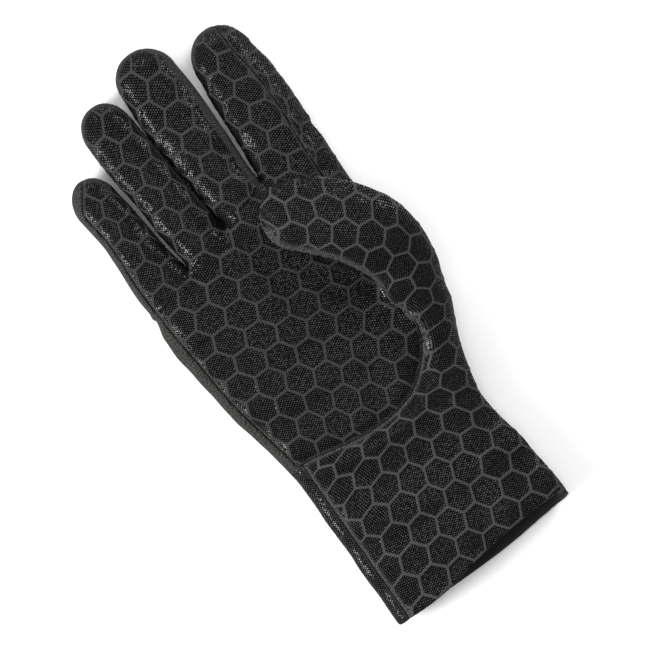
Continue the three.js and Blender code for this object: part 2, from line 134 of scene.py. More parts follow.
# %% Tables of the fingers
# Rows: share of the finger's length from the knuckle line, middle and width as shares of its width,
# thickness as a share of FINGER_THICK. `plain` is how many millimetres of its flank are left unprinted.
FINGERS = {
    "pinky": dict(length=63.5, width=25, foot=-0.405, plain=0.6, rows=np.array([
        [-0.55, 0.130, 1.00, 0.98], [0.00, -0.010, 1.16, 0.98], [0.16, -0.040, 1.07, 1.00],
        [0.32, -0.050, 1.00, 1.00], [0.47, -0.070, 0.96, 0.98], [0.63, -0.115, 0.97, 0.98],
        [0.76, -0.165, 0.96, 0.96]])),
    "ring": dict(length=90.5, width=27, foot=-0.172, plain=1.2, rows=np.array([
        [-0.20, 0.030, 1.00, 1.00], [0.00, 0.015, 1.00, 1.02], [0.20, -0.055, 1.03, 1.02],
        [0.40, -0.110, 1.00, 1.00], [0.60, -0.180, 1.015, 1.00], [0.74, -0.220, 1.015, 0.98],
        [0.84, -0.240, 0.99, 0.97]])),
    "middle": dict(length=101.5, width=31, foot=0.058, plain=3.6, rows=np.array([
        [-0.20, 0.010, 0.88, 1.02], [0.00, 0.010, 0.89, 1.04], [0.15, -0.025, 0.925, 1.06],
        [0.32, -0.045, 0.985, 1.04], [0.50, -0.070, 1.045, 1.04], [0.68, -0.090, 1.095, 1.02],
        [0.84, -0.105, 1.04, 1.00]])),
    "index": dict(length=90, width=36, foot=0.326, plain=0.3, rows=np.array([
        [-0.25, 0.000, 1.00, 1.02], [0.00, 0.010, 1.015, 1.04], [0.20, 0.020, 1.04, 1.06],
        [0.36, 0.050, 1.045, 1.04], [0.52, 0.060, 1.03, 1.02], [0.67, 0.060, 0.995, 1.00],
        [0.80, 0.050, 0.905, 0.98]])),
}
print("fingers:", {name: round(finger["length"] * SIZE, 1) for name, finger in FINGERS.items()})

# %% [markdown]
# ## Sections of the thumb
# The thumb starts beside the wrist, rises off the palm and folds over it. A row of its table says where
# the thumb is heading there and how high it has risen, so that its bend is drawn as it is seen from
# above.

# %% Table of the thumb
# Rows: share of THUMB_LENGTH, heading in degrees from +X, rise as a share of THUMB_RISE, width and
# thickness as shares of THUMB_WIDTH and THUMB_THICK.
THUMB_ROWS = np.array([
    [0.000, 68, 0.00, 0.46, 0.70],
    [0.142, 71, 0.05, 0.51, 0.90],
    [0.245, 76, 0.20, 0.63, 1.00],
    [0.366, 84, 0.46, 0.74, 1.04],
    [0.472, 95, 0.72, 0.87, 1.04],
    [0.558, 109, 0.90, 0.97, 1.02],
    [0.645, 122, 1.00, 1.00, 1.00],
    [0.733, 133, 1.02, 1.00, 1.00],
    [0.812, 141, 1.01, 0.97, 0.98],
    [0.870, 146, 1.00, 0.90, 0.95],
    [1.000, 150, 1.00, 0.90, 0.95],
])
THUMB_CLEARANCE = 2.0
print("thumb rows:", len(THUMB_ROWS), "for", round(THUMB_LENGTH, 1), "mm")

# %% [markdown]
# ## Smooth curves through the rows
# Straight lines between the rows would leave a crease in the cloth at each of them. A Hermite curve
# passes through the same rows with a steady slope. The second helper, an eased step, is used all through
# the lesson wherever one form fades into another.

# %% Curve helpers
def hermite(rows, at, column):
    """One column of a table at the places `at`, on a smooth curve through its rows."""
    x, y = rows[:, 0], rows[:, column]
    slope = np.gradient(y, x)
    at = np.clip(at, x[0], x[-1])
    i = np.clip(np.searchsorted(x, at) - 1, 0, len(x) - 2)
    step = x[i + 1] - x[i]
    t = (at - x[i]) / step
    return ((2 * t**3 - 3 * t**2 + 1) * y[i] + (t**3 - 2 * t**2 + t) * step * slope[i]
            + (3 * t**2 - 2 * t**3) * y[i + 1] + (t**3 - t**2) * step * slope[i + 1])


def ease(x, start, end):
    """0 before start, 1 after end, smooth between."""
    t = np.clip((x - start) / (end - start), 0, 1)
    return t * t * (3 - 2 * t)


print("thickness half-way up the palm:", round(PALM_THICK * float(hermite(HAND_ROWS, 0.5, 3)), 2), "mm")

# %% [markdown]
# ## A field of distances
# Fingers, thumb and palm run softly into each other. Tubes of mesh are hard to weld like that, and a
# boolean leaves a sharp line. A field is easier: every point of a fine grid holds its distance to the
# skin, negative inside. Two limbs are joined by taking the smaller distance, with a rounded valley where
# they should blend.

# %% The grid and its operations
VOXEL = 0.8
MARGIN = 4.0
LEAST_SLOPE = 0.03
LOW = np.array([cad_low[0], cad_low[1], 0.0]) - MARGIN
HIGH = cad_high + MARGIN
AXES = [np.arange(LOW[k], HIGH[k], VOXEL, dtype=np.float32) for k in range(3)]
GX, GY = np.meshgrid(AXES[0], AXES[1], indexing="ij")
X, Y, Z = GX[:, :, None], GY[:, :, None], AXES[2][None, None, :]


def round_min(a, b, radius):
    """The join of two fields, with a valley of that radius."""
    h = np.clip(0.5 + 0.5 * (b - a) / radius, 0, 1)
    return b + (a - b) * h - radius * h * (1 - h)


def round_max(a, b, radius):
    """The common part of two fields, with a rounded edge."""
    return -round_min(-a, -b, radius)


def to_distance(ratio, axes=(0, 1, 2)):
    """Turns a field that is 1 on the skin into millimetres from it, by its slopes along those axes."""
    slopes = np.gradient(ratio, VOXEL, axis=axes)
    steepness = np.sqrt(sum(s * s for s in slopes))
    return (ratio - 1) / np.maximum(steepness, LEAST_SLOPE)


def oval_ratio(across, rise, half_width, half_height, squareness, past=0.0):
    """1 on an oval section; `past` is how far along its rounded end a point lies, 1 at the tip."""
    flat = (np.abs(across / half_width) ** squareness + np.abs(rise / half_height) ** squareness)
    return np.sqrt(flat ** (2 / squareness) + past**2)


print("grid:", [len(a) for a in AXES], "points of", VOXEL, "mm")

# %% [markdown]
# ## Palm and cuff
# The hand's table is turned into a field here. Its upper end leans, because the crotch between two
# fingers sits higher towards the thumb, and it closes in a rounded edge there: that edge becomes the
# webs. The section is a flattened oval with full shoulders, since two sheets of foam that are glued at
# their edges don't lie quite flat.

# %% The hand's field
HAND_SQUARENESS = 2.8


def hand_section(x, y):
    """The hand's section at places in plan: middle, half width, half height, level of the middle, and how
    many millimetres past the web."""
    lean = WEB_TILT * ease(y, -0.1 * PALM_LENGTH, 0.42 * PALM_LENGTH)
    along = (y - lean * x - HEEL_Y) / PALM_LENGTH
    wrist, left, right = WRIST_WIDTH / 2, PALM_LEFT * PALM_WIDTH, PALM_RIGHT * PALM_WIDTH
    below = ease(along, 0.06, -0.02)
    left_full = left + (CUFF_LEFT * CUFF_WIDTH - left) * below
    right_full = right + (CUFF_RIGHT * CUFF_WIDTH - right) * below
    edge_left = -(wrist + (left_full - wrist) * hermite(HAND_ROWS, along, 1))
    edge_right = wrist + (right_full - wrist) * hermite(HAND_ROWS, along, 2)
    thick = PALM_THICK * hermite(HAND_ROWS, along, 3)
    last = HAND_ROWS[-1, 0]
    past = np.clip((along - last) / (WEB_AT - last), 0, 1)
    left_over = np.sqrt(1 - past**2)
    tall = (thick + SINK) / 2 * (WEB_EDGE + (1 - WEB_EDGE) * left_over)
    half = (edge_right - edge_left) / 2 - past**2 * WEB_NARROWING * PALM_WIDTH
    level = np.maximum((thick - SINK) / 2, SEAM_Z * ease(along, last, WEB_AT))
    return (edge_left + edge_right) / 2, half, tall, level, (along - WEB_AT) * PALM_LENGTH


middle, half_width, half_height, level, beyond_web = [a[:, :, None] for a in hand_section(GX, GY)]
ratio = oval_ratio(X - middle, Z - level, half_width, half_height, HAND_SQUARENESS)
hand = to_distance(ratio, axes=(0, 2))
hand = np.maximum(hand, beyond_web)
print("hand:", int((hand < 0).sum() * VOXEL**3 / 1000), "cubic cm, filled")

# %% [markdown]
# ## Fingers
# Each finger is a flattened oval tube that narrows and widens as a filled glove finger does, and ends in
# a blunt dome. Its foot starts inside the palm, and the two are blended with a rounded valley, which is
# the web. The fingers themselves are joined without a valley: they touch, and a thin gap between them
# stays open.

# %% The fingers' fields
FINGER_GAP = 0.8
LIMB_SQUARENESS = 2.4
WEB_VALLEY = 5.0


def finger_section(finger, y):
    """Middle, half width, half height, height of the middle, and how far past the last section."""
    length, width = finger["length"] * SIZE, finger["width"] * SIZE
    rows = finger["rows"]
    along = (y - KNUCKLE_Y) / length
    centre = finger["foot"] * PALM_WIDTH + width * hermite(rows, along, 1)
    thick = FINGER_THICK * hermite(rows, along, 3)
    past = np.clip((along - rows[-1, 0]) / (1 - rows[-1, 0]), 0, None)
    half = (width * hermite(rows, along, 2) - FINGER_GAP) / 2
    return centre, half, (thick + SINK) / 2, (thick - SINK) / 2, past


def finger_field(finger):
    """Distance to the skin of one finger, which ends at its foot inside the palm."""
    centre, half, tall, level, past = [a[:, :, None] for a in finger_section(finger, GY)]
    field = to_distance(oval_ratio(X - centre, Z - level, half, tall, LIMB_SQUARENESS, past))
    foot = KNUCKLE_Y + finger["rows"][0, 0] * finger["length"] * SIZE
    return np.maximum(field, foot - Y)


finger_fields = {name: finger_field(finger) for name, finger in FINGERS.items()}
all_fingers = np.minimum.reduce(list(finger_fields.values()))
body = round_min(hand, all_fingers, WEB_VALLEY)
print("hand and fingers:", int((body < 0).sum() * VOXEL**3 / 1000), "cubic cm, filled")

# %% [markdown]
# ## The thumb's middle line
# A bent limb could be a curve object with a bevel, but then its section could not flatten and its field
# would be lost. So its middle line is walked out from the headings in the table, in short steps. For a
# point near it, the nearest place on that line gives three numbers: how far along, how far across, and
# how far above.

# %% The thumb's middle line
LINE_STEP = 1.5
THUMB_START = np.array([0.336 * PALM_WIDTH, -0.517 * PALM_LENGTH])
BATCH = 60000
line_at = np.arange(0, THUMB_LENGTH + LINE_STEP / 2, LINE_STEP) / THUMB_LENGTH
heading = np.radians(hermite(THUMB_ROWS, line_at, 1))
walk = np.stack([np.cos(heading), np.sin(heading)], 1) * LINE_STEP
LINE = np.zeros((len(line_at), 3))
LINE[:, :2] = THUMB_START + np.cumsum(walk, 0) - walk
THUMB_RISE = PALM_THICK + THUMB_CLEARANCE + THUMB_THICK / 2 - SEAM_Z
LINE[:, 2] = SEAM_Z + THUMB_RISE * hermite(THUMB_ROWS, line_at, 2)
ALONG = np.gradient(LINE, axis=0)
ALONG /= np.linalg.norm(ALONG, axis=1)[:, None]
ACROSS = np.cross(ALONG, [0, 0, 1.0])
ACROSS /= np.linalg.norm(ACROSS, axis=1)[:, None]
UP = np.cross(ACROSS, ALONG)


def thumb_place(points):
    """Along (mm), across and above the thumb's middle line for an array of points."""
    out = np.empty((len(points), 3), np.float32)
    for start in range(0, len(points), BATCH):
        part = points[start:start + BATCH]
        gaps = (part**2).sum(1)[:, None] - 2 * part @ LINE.T + (LINE**2).sum(1)
        near = gaps.argmin(1)
        offset = part - LINE[near]
        slide = (offset * ALONG[near]).sum(1)
        out[start:start + BATCH, 0] = near * LINE_STEP + slide
        out[start:start + BATCH, 1] = (offset * ACROSS[near]).sum(1)
        out[start:start + BATCH, 2] = (offset * UP[near]).sum(1)
    return out


print("thumb's line:", len(LINE), "steps, up to", round(float(LINE[:, 2].max()), 1), "mm high")

# %% [markdown]
# ## The thumb's field
# The thumb's section is the same flattened oval as a finger's, but measured across and above its bent
# line. Only the grid points in a box round the thumb are worked out, because the nearest-place search is
# slow. Outside the box, and far from the line, the field is simply a large distance.

# %% The thumb's field
THUMB_BOX_LEFT = -14.0
THUMB_BOX_REACH = 84 * SIZE
FAR, FAR_RATIO, BEYOND_BOX = 60.0, 4.0, 40.0
GUARD = 0.52 * THUMB_WIDTH


def thumb_section(along):
    """Half width, half height, and how far past the last section, at places along the thumb."""
    share = along / THUMB_LENGTH
    half = THUMB_WIDTH / 2 * hermite(THUMB_ROWS, share, 3)
    tall = THUMB_THICK / 2 * hermite(THUMB_ROWS, share, 4)
    dome = THUMB_ROWS[-2, 0]
    return half, tall, np.clip((share - dome) / (1 - dome), 0, None)


def thumb_box(rim):
    """True in a box round the thumb, moved in by `rim`."""
    reach = THUMB_BOX_REACH - rim
    return (X > THUMB_BOX_LEFT + rim) & (np.abs(Y) < reach) & np.isfinite(Z)


index = np.nonzero(thumb_box(0) & (hand < FAR))
points = np.stack([AXES[0][index[0]], AXES[1][index[1]], AXES[2][index[2]]], 1)
place = thumb_place(points)
shape = body.shape
thumb_along = np.full(shape, 0, np.float32)
thumb_across = np.full(shape, FAR, np.float32)
thumb_above = np.full(shape, -FAR, np.float32)
thumb_ratio = np.full(shape, FAR_RATIO, np.float32)
half, tall, past = thumb_section(place[:, 0])
thumb_along[index] = place[:, 0]
thumb_across[index] = place[:, 1]
thumb_above[index] = place[:, 2]
thumb_ratio[index] = oval_ratio(place[:, 1], place[:, 2], half, tall, LIMB_SQUARENESS, past)
thumb = np.where(thumb_box(3 * VOXEL), to_distance(thumb_ratio), BEYOND_BOX)
thumb = np.maximum(thumb, -thumb_along)
thumb = np.maximum(thumb, np.hypot(thumb_across, thumb_above) - GUARD)
print("grid points near the thumb:", len(points))

# %% [markdown]
# ## One skin, flattened where it lies
# On the real glove the ball of the thumb is one sheet with the cuff, so no step shows there. The thumb
# blends into the ball of the hand but must not blend with the palm that it hovers over, so its valley
# shrinks to nothing along its length. Where the glove rests on the table its back is flat.

# %% Join and flatten
BALL_VALLEY = 9.0
SHARP_VALLEY = 0.05
RESTING_EDGE = 1.5
free = ease(thumb_along, 0.34 * THUMB_LENGTH, 0.5 * THUMB_LENGTH)
blend = BALL_VALLEY * (1 - free) + SHARP_VALLEY
skin = round_min(body, thumb, blend)
skin = round_max(skin, -Z + 0 * skin, RESTING_EDGE)
print("skin:", int((skin < 0).sum() * VOXEL**3 / 1000), "cubic cm, filled")

# %% [markdown]
# ## Seams seen from above
# The palm panel ends at the side of the hand, runs up both outer fingers and turns round the ball of the
# thumb as the heel seam. The cuff's panel starts at that seam. Each is kept as a line in plan, as a
# pattern cutter draws it: a cut through finished meshes would need its line drawn again on every curved
# face. Most of the line follows the hand's own edge, moved in by a few millimetres, so only the heel seam
# has points of its own.

# %% Outlines of the panels
def scaled(rows, length=PALM_LENGTH):
    """Rows of x and y given in shares of the palm's width and of a length."""
    return np.array(rows) * [PALM_WIDTH, length]


HEEL_SEAM = scaled([
    [0.330, 0.010], [0.344, -0.040], [0.356, -0.095], [0.367, -0.150], [0.371, -0.205], [0.368, -0.255],
    [0.352, -0.305], [0.320, -0.352], [0.277, -0.398], [0.225, -0.442], [0.168, -0.474], [0.090, -0.494],
    [0.000, -0.500], [-0.084, -0.496], [-0.168, -0.483], [-0.250, -0.466], [-0.320, -0.454]])
SIDE_INSET, CUFF_INSET, INDEX_INSET, PINKY_INSET = 5.0, 6.5, 10.0, 3.5
PAST_TIPS = 20.0
OUTSIDE = 300.0


def hand_edge(y, side, inset):
    """Points along an edge of the hand, moved in."""
    y = np.array(y, float)
    middle, half, *_ = hand_section(np.zeros_like(y), y)
    return np.stack([middle + side * (half - inset), y], 1)


def finger_edge(finger, side, inset):
    """Points along an edge of a finger, moved in."""
    length = finger["length"] * SIZE
    y = KNUCKLE_Y + length * np.linspace(0.05, finger["rows"][-1, 0], 7)
    centre, half, *_ = finger_section(finger, y)
    return np.stack([centre + side * (half - inset), y], 1)


pinky, index_finger = FINGERS["pinky"], FINGERS["index"]
pinky_tip = [pinky["foot"] * PALM_WIDTH - 2.5, KNUCKLE_Y + pinky["length"] * SIZE]
index_tip = [index_finger["foot"] * PALM_WIDTH + 7, KNUCKLE_Y + index_finger["length"] * SIZE]
beyond = cad_high[1] + PAST_TIPS
PALM_OUTLINE = np.concatenate([
    HEEL_SEAM,
    hand_edge([HEEL_SEAM[-1, 1], -0.38 * PALM_LENGTH, -0.25 * PALM_LENGTH, -0.1 * PALM_LENGTH, 0,
               0.15 * PALM_LENGTH, 0.3 * PALM_LENGTH], -1, SIDE_INSET),
    finger_edge(pinky, -1, PINKY_INSET),
    [pinky_tip, [pinky_tip[0], beyond], [index_tip[0], beyond], index_tip],
    finger_edge(index_finger, 1, INDEX_INSET)[::-1],
    [[HEEL_SEAM[0, 0] + 6, 0.2 * PALM_LENGTH]],
])
seam_x = -CUFF_LEFT * CUFF_WIDTH + CUFF_INSET
BALL_END = 6
CUFF_OUTLINE = np.concatenate([
    [[seam_x, -OUTSIDE], [OUTSIDE, -OUTSIDE], [OUTSIDE, HEEL_SEAM[BALL_END, 1]]],
    HEEL_SEAM[BALL_END:],
    [[seam_x, HEEL_SEAM[-1, 1]]],
])
print("palm outline:", len(PALM_OUTLINE), "points; cuff outline:", len(CUFF_OUTLINE), "points")

# %% [markdown]
# ## Distances to the seams
# A seam does two things to the cloth near it: it ends a panel, and it pulls the skin in. Both need the
# distance from any place to the line, with a minus sign inside the panel, so that is worked out once for
# the whole plan.

# %% Distances in plan
def line_distance(line, x, y):
    """Distance in plan to a line of points."""
    nearest = np.full(np.shape(x), 1e9)
    for (ax, ay), (bx, by) in zip(line[:-1], line[1:]):
        dx, dy = bx - ax, by - ay
        share = np.clip(((x - ax) * dx + (y - ay) * dy) / (dx * dx + dy * dy), 0, 1)
        nearest = np.minimum(nearest, (x - ax - share * dx) ** 2 + (y - ay - share * dy) ** 2)
    return np.sqrt(nearest)


def outline_distance(outline, x, y):
    """Distance in plan to a closed outline, negative inside."""
    closed = np.concatenate([outline, outline[:1]])
    inside = np.zeros(np.shape(x), bool)
    for (ax, ay), (bx, by) in zip(closed[:-1], closed[1:]):
        crosses = (ay > y) != (by > y)
        inside ^= crosses & (x < ax + (y - ay) * (bx - ax) / ((by - ay) or 1e-9))
    return np.where(inside, -1, 1) * line_distance(closed, x, y)


palm_plan = outline_distance(PALM_OUTLINE, GX, GY)[:, :, None]
cuff_plan = outline_distance(CUFF_OUTLINE, GX, GY)[:, :, None]
print("inside the palm outline:", int((palm_plan < 0).sum() * VOXEL**2 / 100), "square cm")
print("inside the cuff outline, with what lies off the glove:", int((cuff_plan < 0).sum() * VOXEL**2 / 100))

# %% [markdown]
# ## Four regions
# Palm, cuff with thumb, the thumb's inner face and the back: each panel is a region of space that will be
# cut out of one common shell, so their edges meet exactly, as glued edges do. A region is its outline in
# plan, cut off at half the height of the flank, where the back begins. The thumb lies over the palm, so
# there the palm's region ends in the gap between the two.

# %% Regions
ELSEWHERE = 9.0
PALM_TOP = PALM_THICK + THUMB_CLEARANCE / 2
NEAR_THUMB = 3.0
INNER_FACE = 0.6
THUMB_CROTCH = 0.53 * THUMB_LENGTH
below_seam = SEAM_Z - Z
palm_front = np.maximum(palm_plan, below_seam)
palm_region = np.maximum(palm_front, np.where(thumb < NEAR_THUMB, Z - PALM_TOP, -ELSEWHERE))
cuff_front = np.maximum(cuff_plan, below_seam)
thumb_top = np.maximum(-thumb_above, thumb - NEAR_THUMB)
cuff_region = round_min(cuff_front, thumb_top, NEAR_THUMB)
thumb_region = np.maximum(np.maximum(thumb_above, thumb - INNER_FACE), THUMB_CROTCH - thumb_along)
print("the palm's region ends at", PALM_TOP, "mm, the thumb's inner face starts", THUMB_CROTCH, "mm along")

# %% [markdown]
# ## What the seams do to the cloth
# Glue and thread pull the foam together: each seam draws the skin in by almost half a millimetre, and the
# heel seam lies in a wide valley with a soft roll of cloth beside it. A displacement texture could do it,
# but the field holds the distance to every seam already, so a bell curve of that distance is enough.

# %% Pinched seams
# Each pair: how deep, and how wide, in mm.
PALM_PINCH, CUFF_PINCH, THUMB_PINCH = (0.40, 1.5), (0.45, 1.5), (0.40, 1.5)
HEEL_VALLEY, CUFF_ROLL, PALM_ROLL = (0.9, 3.2), (1.15, 4.5), (0.45, 6.0)
CUFF_ROLL_AT, PALM_ROLL_AT = -7.5, 8
HEEL_START = 3


def pinch(region, depth, width):
    """A valley along the line where `region` is 0."""
    return depth * np.exp(-((region / width) ** 2))


off_palm = palm_region > 0
off_both = off_palm & (cuff_region > 0)
skin = skin + pinch(palm_front, *PALM_PINCH) * ease(Z, PALM_TOP + 1, PALM_TOP - 1)
skin = skin + pinch(np.where(off_palm, cuff_region, ELSEWHERE), *CUFF_PINCH)
skin = skin + pinch(np.where(off_both, thumb_region, ELSEWHERE), *THUMB_PINCH)

heel = line_distance(HEEL_SEAM[HEEL_START:], GX, GY)[:, :, None] * np.where(palm_plan < 0, 1, -1)
on_front = ease(Z, SEAM_Z, SEAM_Z + 6)
rolls = pinch(heel - CUFF_ROLL_AT, *CUFF_ROLL), pinch(heel - PALM_ROLL_AT, *PALM_ROLL)
skin = skin + on_front * (pinch(heel, *HEEL_VALLEY) - rolls[0] - rolls[1])
print("heel valley:", HEEL_VALLEY[0], "mm deep, roll beside it:", CUFF_ROLL[0], "mm high")

# %% [markdown]
# ## Puckers, a crease and dents
# A worn glove isn't smooth between its seams either. The thumb's lower seam is puckered, a crease runs
# down the middle finger, and foam that has been squeezed keeps low dents. A cloth simulation could give
# such forms, but sines with a slow drift are quicker and the same each time. They fade out on the flanks,
# so the outline stays calm.

# %% Puckers, crease and dents
# Small puckers along the thumb's lower seam, where it turns over the palm.
PUCKER = 0.30
thumb_edge = np.exp(-(((thumb_above - 1) / 3.5) ** 2)) * ease(thumb_across, -4, -9)
thumb_edge = thumb_edge * ease(thumb_along, 0.48 * THUMB_LENGTH, 0.56 * THUMB_LENGTH)
thumb_edge = thumb_edge * ease(thumb_along, 0.88 * THUMB_LENGTH, 0.80 * THUMB_LENGTH)
skin = skin + PUCKER * thumb_edge * np.sin(thumb_along + np.sin(thumb_along / 7))

# A crease down the middle finger, where its plain flank begins.
CREASE = (0.30, 0.9)
centre, half, *_ = finger_section(FINGERS["middle"], GY)
crease = GX - centre - half + FINGERS["middle"]["plain"]
crease = crease + 0.7 * np.sin(GY / 4.5) + 0.3 * np.sin(GY / 1.9)
crease = pinch(crease, *CREASE) * ease(GY, 66, 80) * ease(GY, 150, 135)
skin = skin + crease[:, :, None] * ease(Z, SEAM_Z, SEAM_Z + 4)

# Low dents and swellings: a few waves with seeded directions. Pairs: length and depth in mm.
DENTS = ((46, 0.30), (34, 0.28), (27, 0.22), (21, 0.17), (15, 0.12), (11, 0.08))
DRIFT = 90.0
rng = np.random.default_rng(7)
dents = 0
for length, depth in DENTS:
    turn, phase, tilt = rng.uniform(0, 2 * math.pi, 3)
    wave = (X * math.cos(turn) + Y * math.sin(turn) + 0.5 * Z * math.cos(tilt)) * (2 * math.pi / length)
    dents = dents + depth * np.sin(wave + phase + 1.3 * np.sin(Y * 2 * math.pi / DRIFT + turn))
clear_of_gap = np.maximum(ease(thumb, 2, 10), ease(thumb_above, -2, 3))
skin = skin + dents * ease(skin, -9, -1) * ease(Z, SEAM_Z - 2, SEAM_Z + 8) * clear_of_gap
print("dents up to", round(float(np.abs(dents).max()), 2), "mm")

# %% [markdown]
# ## The wall and the mouth
# So far the glove is a filled form. Its wall is what lies within 3 mm of the skin, on the inside, and
# with a field that takes one line. A solidify modifier would do the same for a mesh. The cuff is cut raw,
# with no hem: its front edge stands a few millimetres behind its back edge, so the black inside shows at
# the mouth.

# %% Wall and hem
# Rows: across as a share of CUFF_WIDTH, how far the back edge rises, how far the front edge lies behind it.
HEM_ROWS = np.array([
    [-CUFF_LEFT, 0.0, 1.2],
    [-0.190, 0.5, 1.7],
    [0.000, 0.7, 5.5],
    [0.190, 1.6, 7.5],
    [0.370, 3.6, 6.8],
    [CUFF_RIGHT, 5.5, 5.0],
])
HEM_EDGE = 0.5
shell = np.abs(skin + WALL / 2) - WALL / 2
hem_low = HEEL_Y - CUFF_LENGTH
back_edge = hem_low + hermite(HEM_ROWS, GX / CUFF_WIDTH, 1)[:, :, None]
front_edge = back_edge + hermite(HEM_ROWS, GX / CUFF_WIDTH, 2)[:, :, None]
side_blend = ease(Z, SEAM_Z - 4, SEAM_Z + 5)
hem = back_edge + (front_edge - back_edge) * side_blend - Y
shell = round_max(shell, hem, HEM_EDGE)
print("cloth and foam:", int((shell < 0).sum() * VOXEL**3 / 1000), "cubic cm")

# %% [markdown]
# ## From field to mesh
# A field has no faces yet. A volume object with a Volume to Mesh modifier could make them. OpenVDB, which
# Blender brings along, does it straight from the array: it turns a grid of distances into an even net of
# small quads, which is what fine relief needs. The back is big and plain, so its net is a little wider.

# %% Field and mesh helpers
def sample(field, points):
    """Field values between grid points."""
    at = (points - LOW) / VOXEL
    i = np.clip(at.astype(int), 0, np.array(field.shape) - 2)
    f = (at - i).astype(np.float32)
    out = 0
    for corner in range(8):
        bit = [(corner >> k) & 1 for k in range(3)]
        weight = np.prod([f[:, k] if bit[k] else 1 - f[:, k] for k in range(3)], axis=0)
        out = out + weight * field[i[:, 0] + bit[0], i[:, 1] + bit[1], i[:, 2] + bit[2]]
    return out


def polygons(field, step):
    """Vertices and quads of a field's zero surface, on a net of that step."""
    if step > VOXEL:
        counts = [int((n - 2) * VOXEL / step) for n in field.shape]
        spots = np.stack(np.meshgrid(*[LOW[k] + step * np.arange(counts[k]) for k in range(3)],
                                     indexing="ij"), -1)
        field = sample(field, spots.reshape(-1, 3)).reshape(counts)
    grid = openvdb.FloatGrid(3 * step)
    grid.copyFromArray(np.clip(field, -3 * step, 3 * step).astype(np.float64))
    points, quads = grid.convertToQuads(isovalue=0.0)
    return points * step + LOW, quads


column = np.column_stack([np.zeros((len(AXES[2]), 2)), AXES[2]])
filled = AXES[2][sample(skin, column) < 0]
print("the palm's middle reaches up to", round(float(filled.max()), 1), "mm")

# %% [markdown]
# ## The panels' meshes
# Each panel gets its own field: the shell inside its region, less half of the seam gap, with soft edges,
# since cut foam has no sharp ones. What is left over when three panels are taken away is the back.

# %% Panel meshes
SOFT_EDGE = 0.35
BACK_STEP = 1.04


def panel_field(region, *others):
    """The shell inside a region and outside the others, with soft edges."""
    field = round_max(shell, region + SEAM_GAP / 2, SOFT_EDGE)
    for other in others:
        field = round_max(field, SEAM_GAP / 2 - other, SOFT_EDGE)
    return field


everything = np.full((1, 1, 1), -FAR)
PANELS = {
    "palm_panel": panel_field(palm_region),
    "cuff_thumb_panel": panel_field(cuff_region, palm_region),
    "thumb_inner_panel": panel_field(thumb_region, cuff_region, palm_region),
    "back_panel": panel_field(everything, palm_region, cuff_region, thumb_region),
}
STEPS = {"back_panel": max(VOXEL, BACK_STEP)}
meshes = {}
for name, field in PANELS.items():
    meshes[name] = polygons(field, STEPS.get(name, VOXEL))
    print(name, len(meshes[name][0]), "vertices", len(meshes[name][1]), "quads")

# %% [markdown]
# ## Where the print lies
# The cloth was printed flat, cut, and then stretched over a hand's form, so its hexagons run in gentle
# curves. A plain projection from above would not bend them, and an automatic unwrap would turn them
# anyhow. So a few are marked below: where a hexagon's middle lies on the glove, and its column
# and row in the flat print. A thin-plate spline will spread the marks to every vertex. The marks are read
# as the camera sees them, from EYE.

# %% Marks
# Rows: x and y in mm on the glove as seen from above, then the hexagon's column and row. Odd columns have
# half rows.
PALM_MARKS = np.array([
    [4.5, -4, 0, 0], [-33.9, 1.7, -3, 0.5], [-26.4, -56, -3, -3.5], [4.9, -47.5, 0, -3], [27, -32, 2, -2],
    [43.1, 4.7, 3, 0.5], [-51.2, 22.7, -4, 2], [-12.5, 45.4, -1, 3.5], [-0.1, 38.2, 0, 3], [-0.8, 53.2, 0, 4],
    [8.4, 63, 1, 4.5], [7.6, 75.1, 1, 5.5], [5.7, 105.6, 1, 7.5], [6.8, 136.6, 1, 9.5], [7.4, 153.8, 1, 10.5],
    [-4, 100.4, 0, 7], [-17.2, 74.7, -1, 5.5], [-19.8, 104.9, -1, 7.5], [-21.1, 136.5, -1, 9.5],
    [-26.2, 67.3, -2, 5], [-29, 95.8, -2, 7], [-33.6, 125.8, -2, 9], [-40.4, 59.7, -3, 4.5],
    [-45.2, 89.9, -3, 6.5], [-50.8, 64.6, -4, 5], [-55.5, 94.5, -4, 7], [44.5, 67.3, 4, 5],
    [41.7, 97.7, 4, 7], [42.6, 126.4, 4, 9], [30.8, 76, 3, 5.5], [30.7, 108, 3, 7.5], [32.5, 138, 3, 9.5]])
CUFF_MARKS = np.array([
    [28.3, 49.1, 0, 0], [41.3, 41.8, 0, 1], [52.6, 33.3, 0, 2], [62.2, 24.1, 0, 3], [69.4, 14.5, 0, 4],
    [38.4, 56.2, 1, 0.5], [50.4, 47.8, 1, 1.5], [61.4, 38.9, 1, 2.5], [19.1, 39.4, -1, -0.5],
    [29.9, 34.4, -1, 0.5], [39.6, 26.4, -1, 1.5], [50.6, 19.2, -1, 2.5], [59.8, 9.2, -1, 3.5],
    [66.9, -0.4, -1, 4.5], [53.9, -2.4, -2, 4], [60.6, -12.7, -2, 5], [62.1, -23.5, -2, 6],
    [51.7, -21.1, -3, 5.5], [52.8, -31.6, -3, 6.5], [49.8, -40.3, -3, 7.5], [44.4, -51.4, -3, 8.5],
    [41.9, -63, -3, 9.5], [43.2, -75.2, -3, 10.5], [47.1, -101.6, -3, 12.5], [50.5, -129.5, -3, 14.5],
    [30.9, -66.9, -4, 10], [35.1, -94.1, -4, 12], [37.5, -123.4, -4, 14], [19.2, -74.3, -5, 10.5],
    [22.4, -102.4, -5, 12.5], [26, -131.8, -5, 14.5], [6.6, -68.9, -6, 10], [10.1, -96.9, -6, 12],
    [13.4, -126.4, -6, 14], [-4, -77.9, -7, 10.5], [-0.5, -106, -7, 12.5], [3.1, -134.5, -7, 14.5],
    [-15, -87.4, -8, 11], [-11.7, -115.1, -8, 13]])
PITCH = 14.5
EYE = np.array([6.08, -4.26, 1500.0])
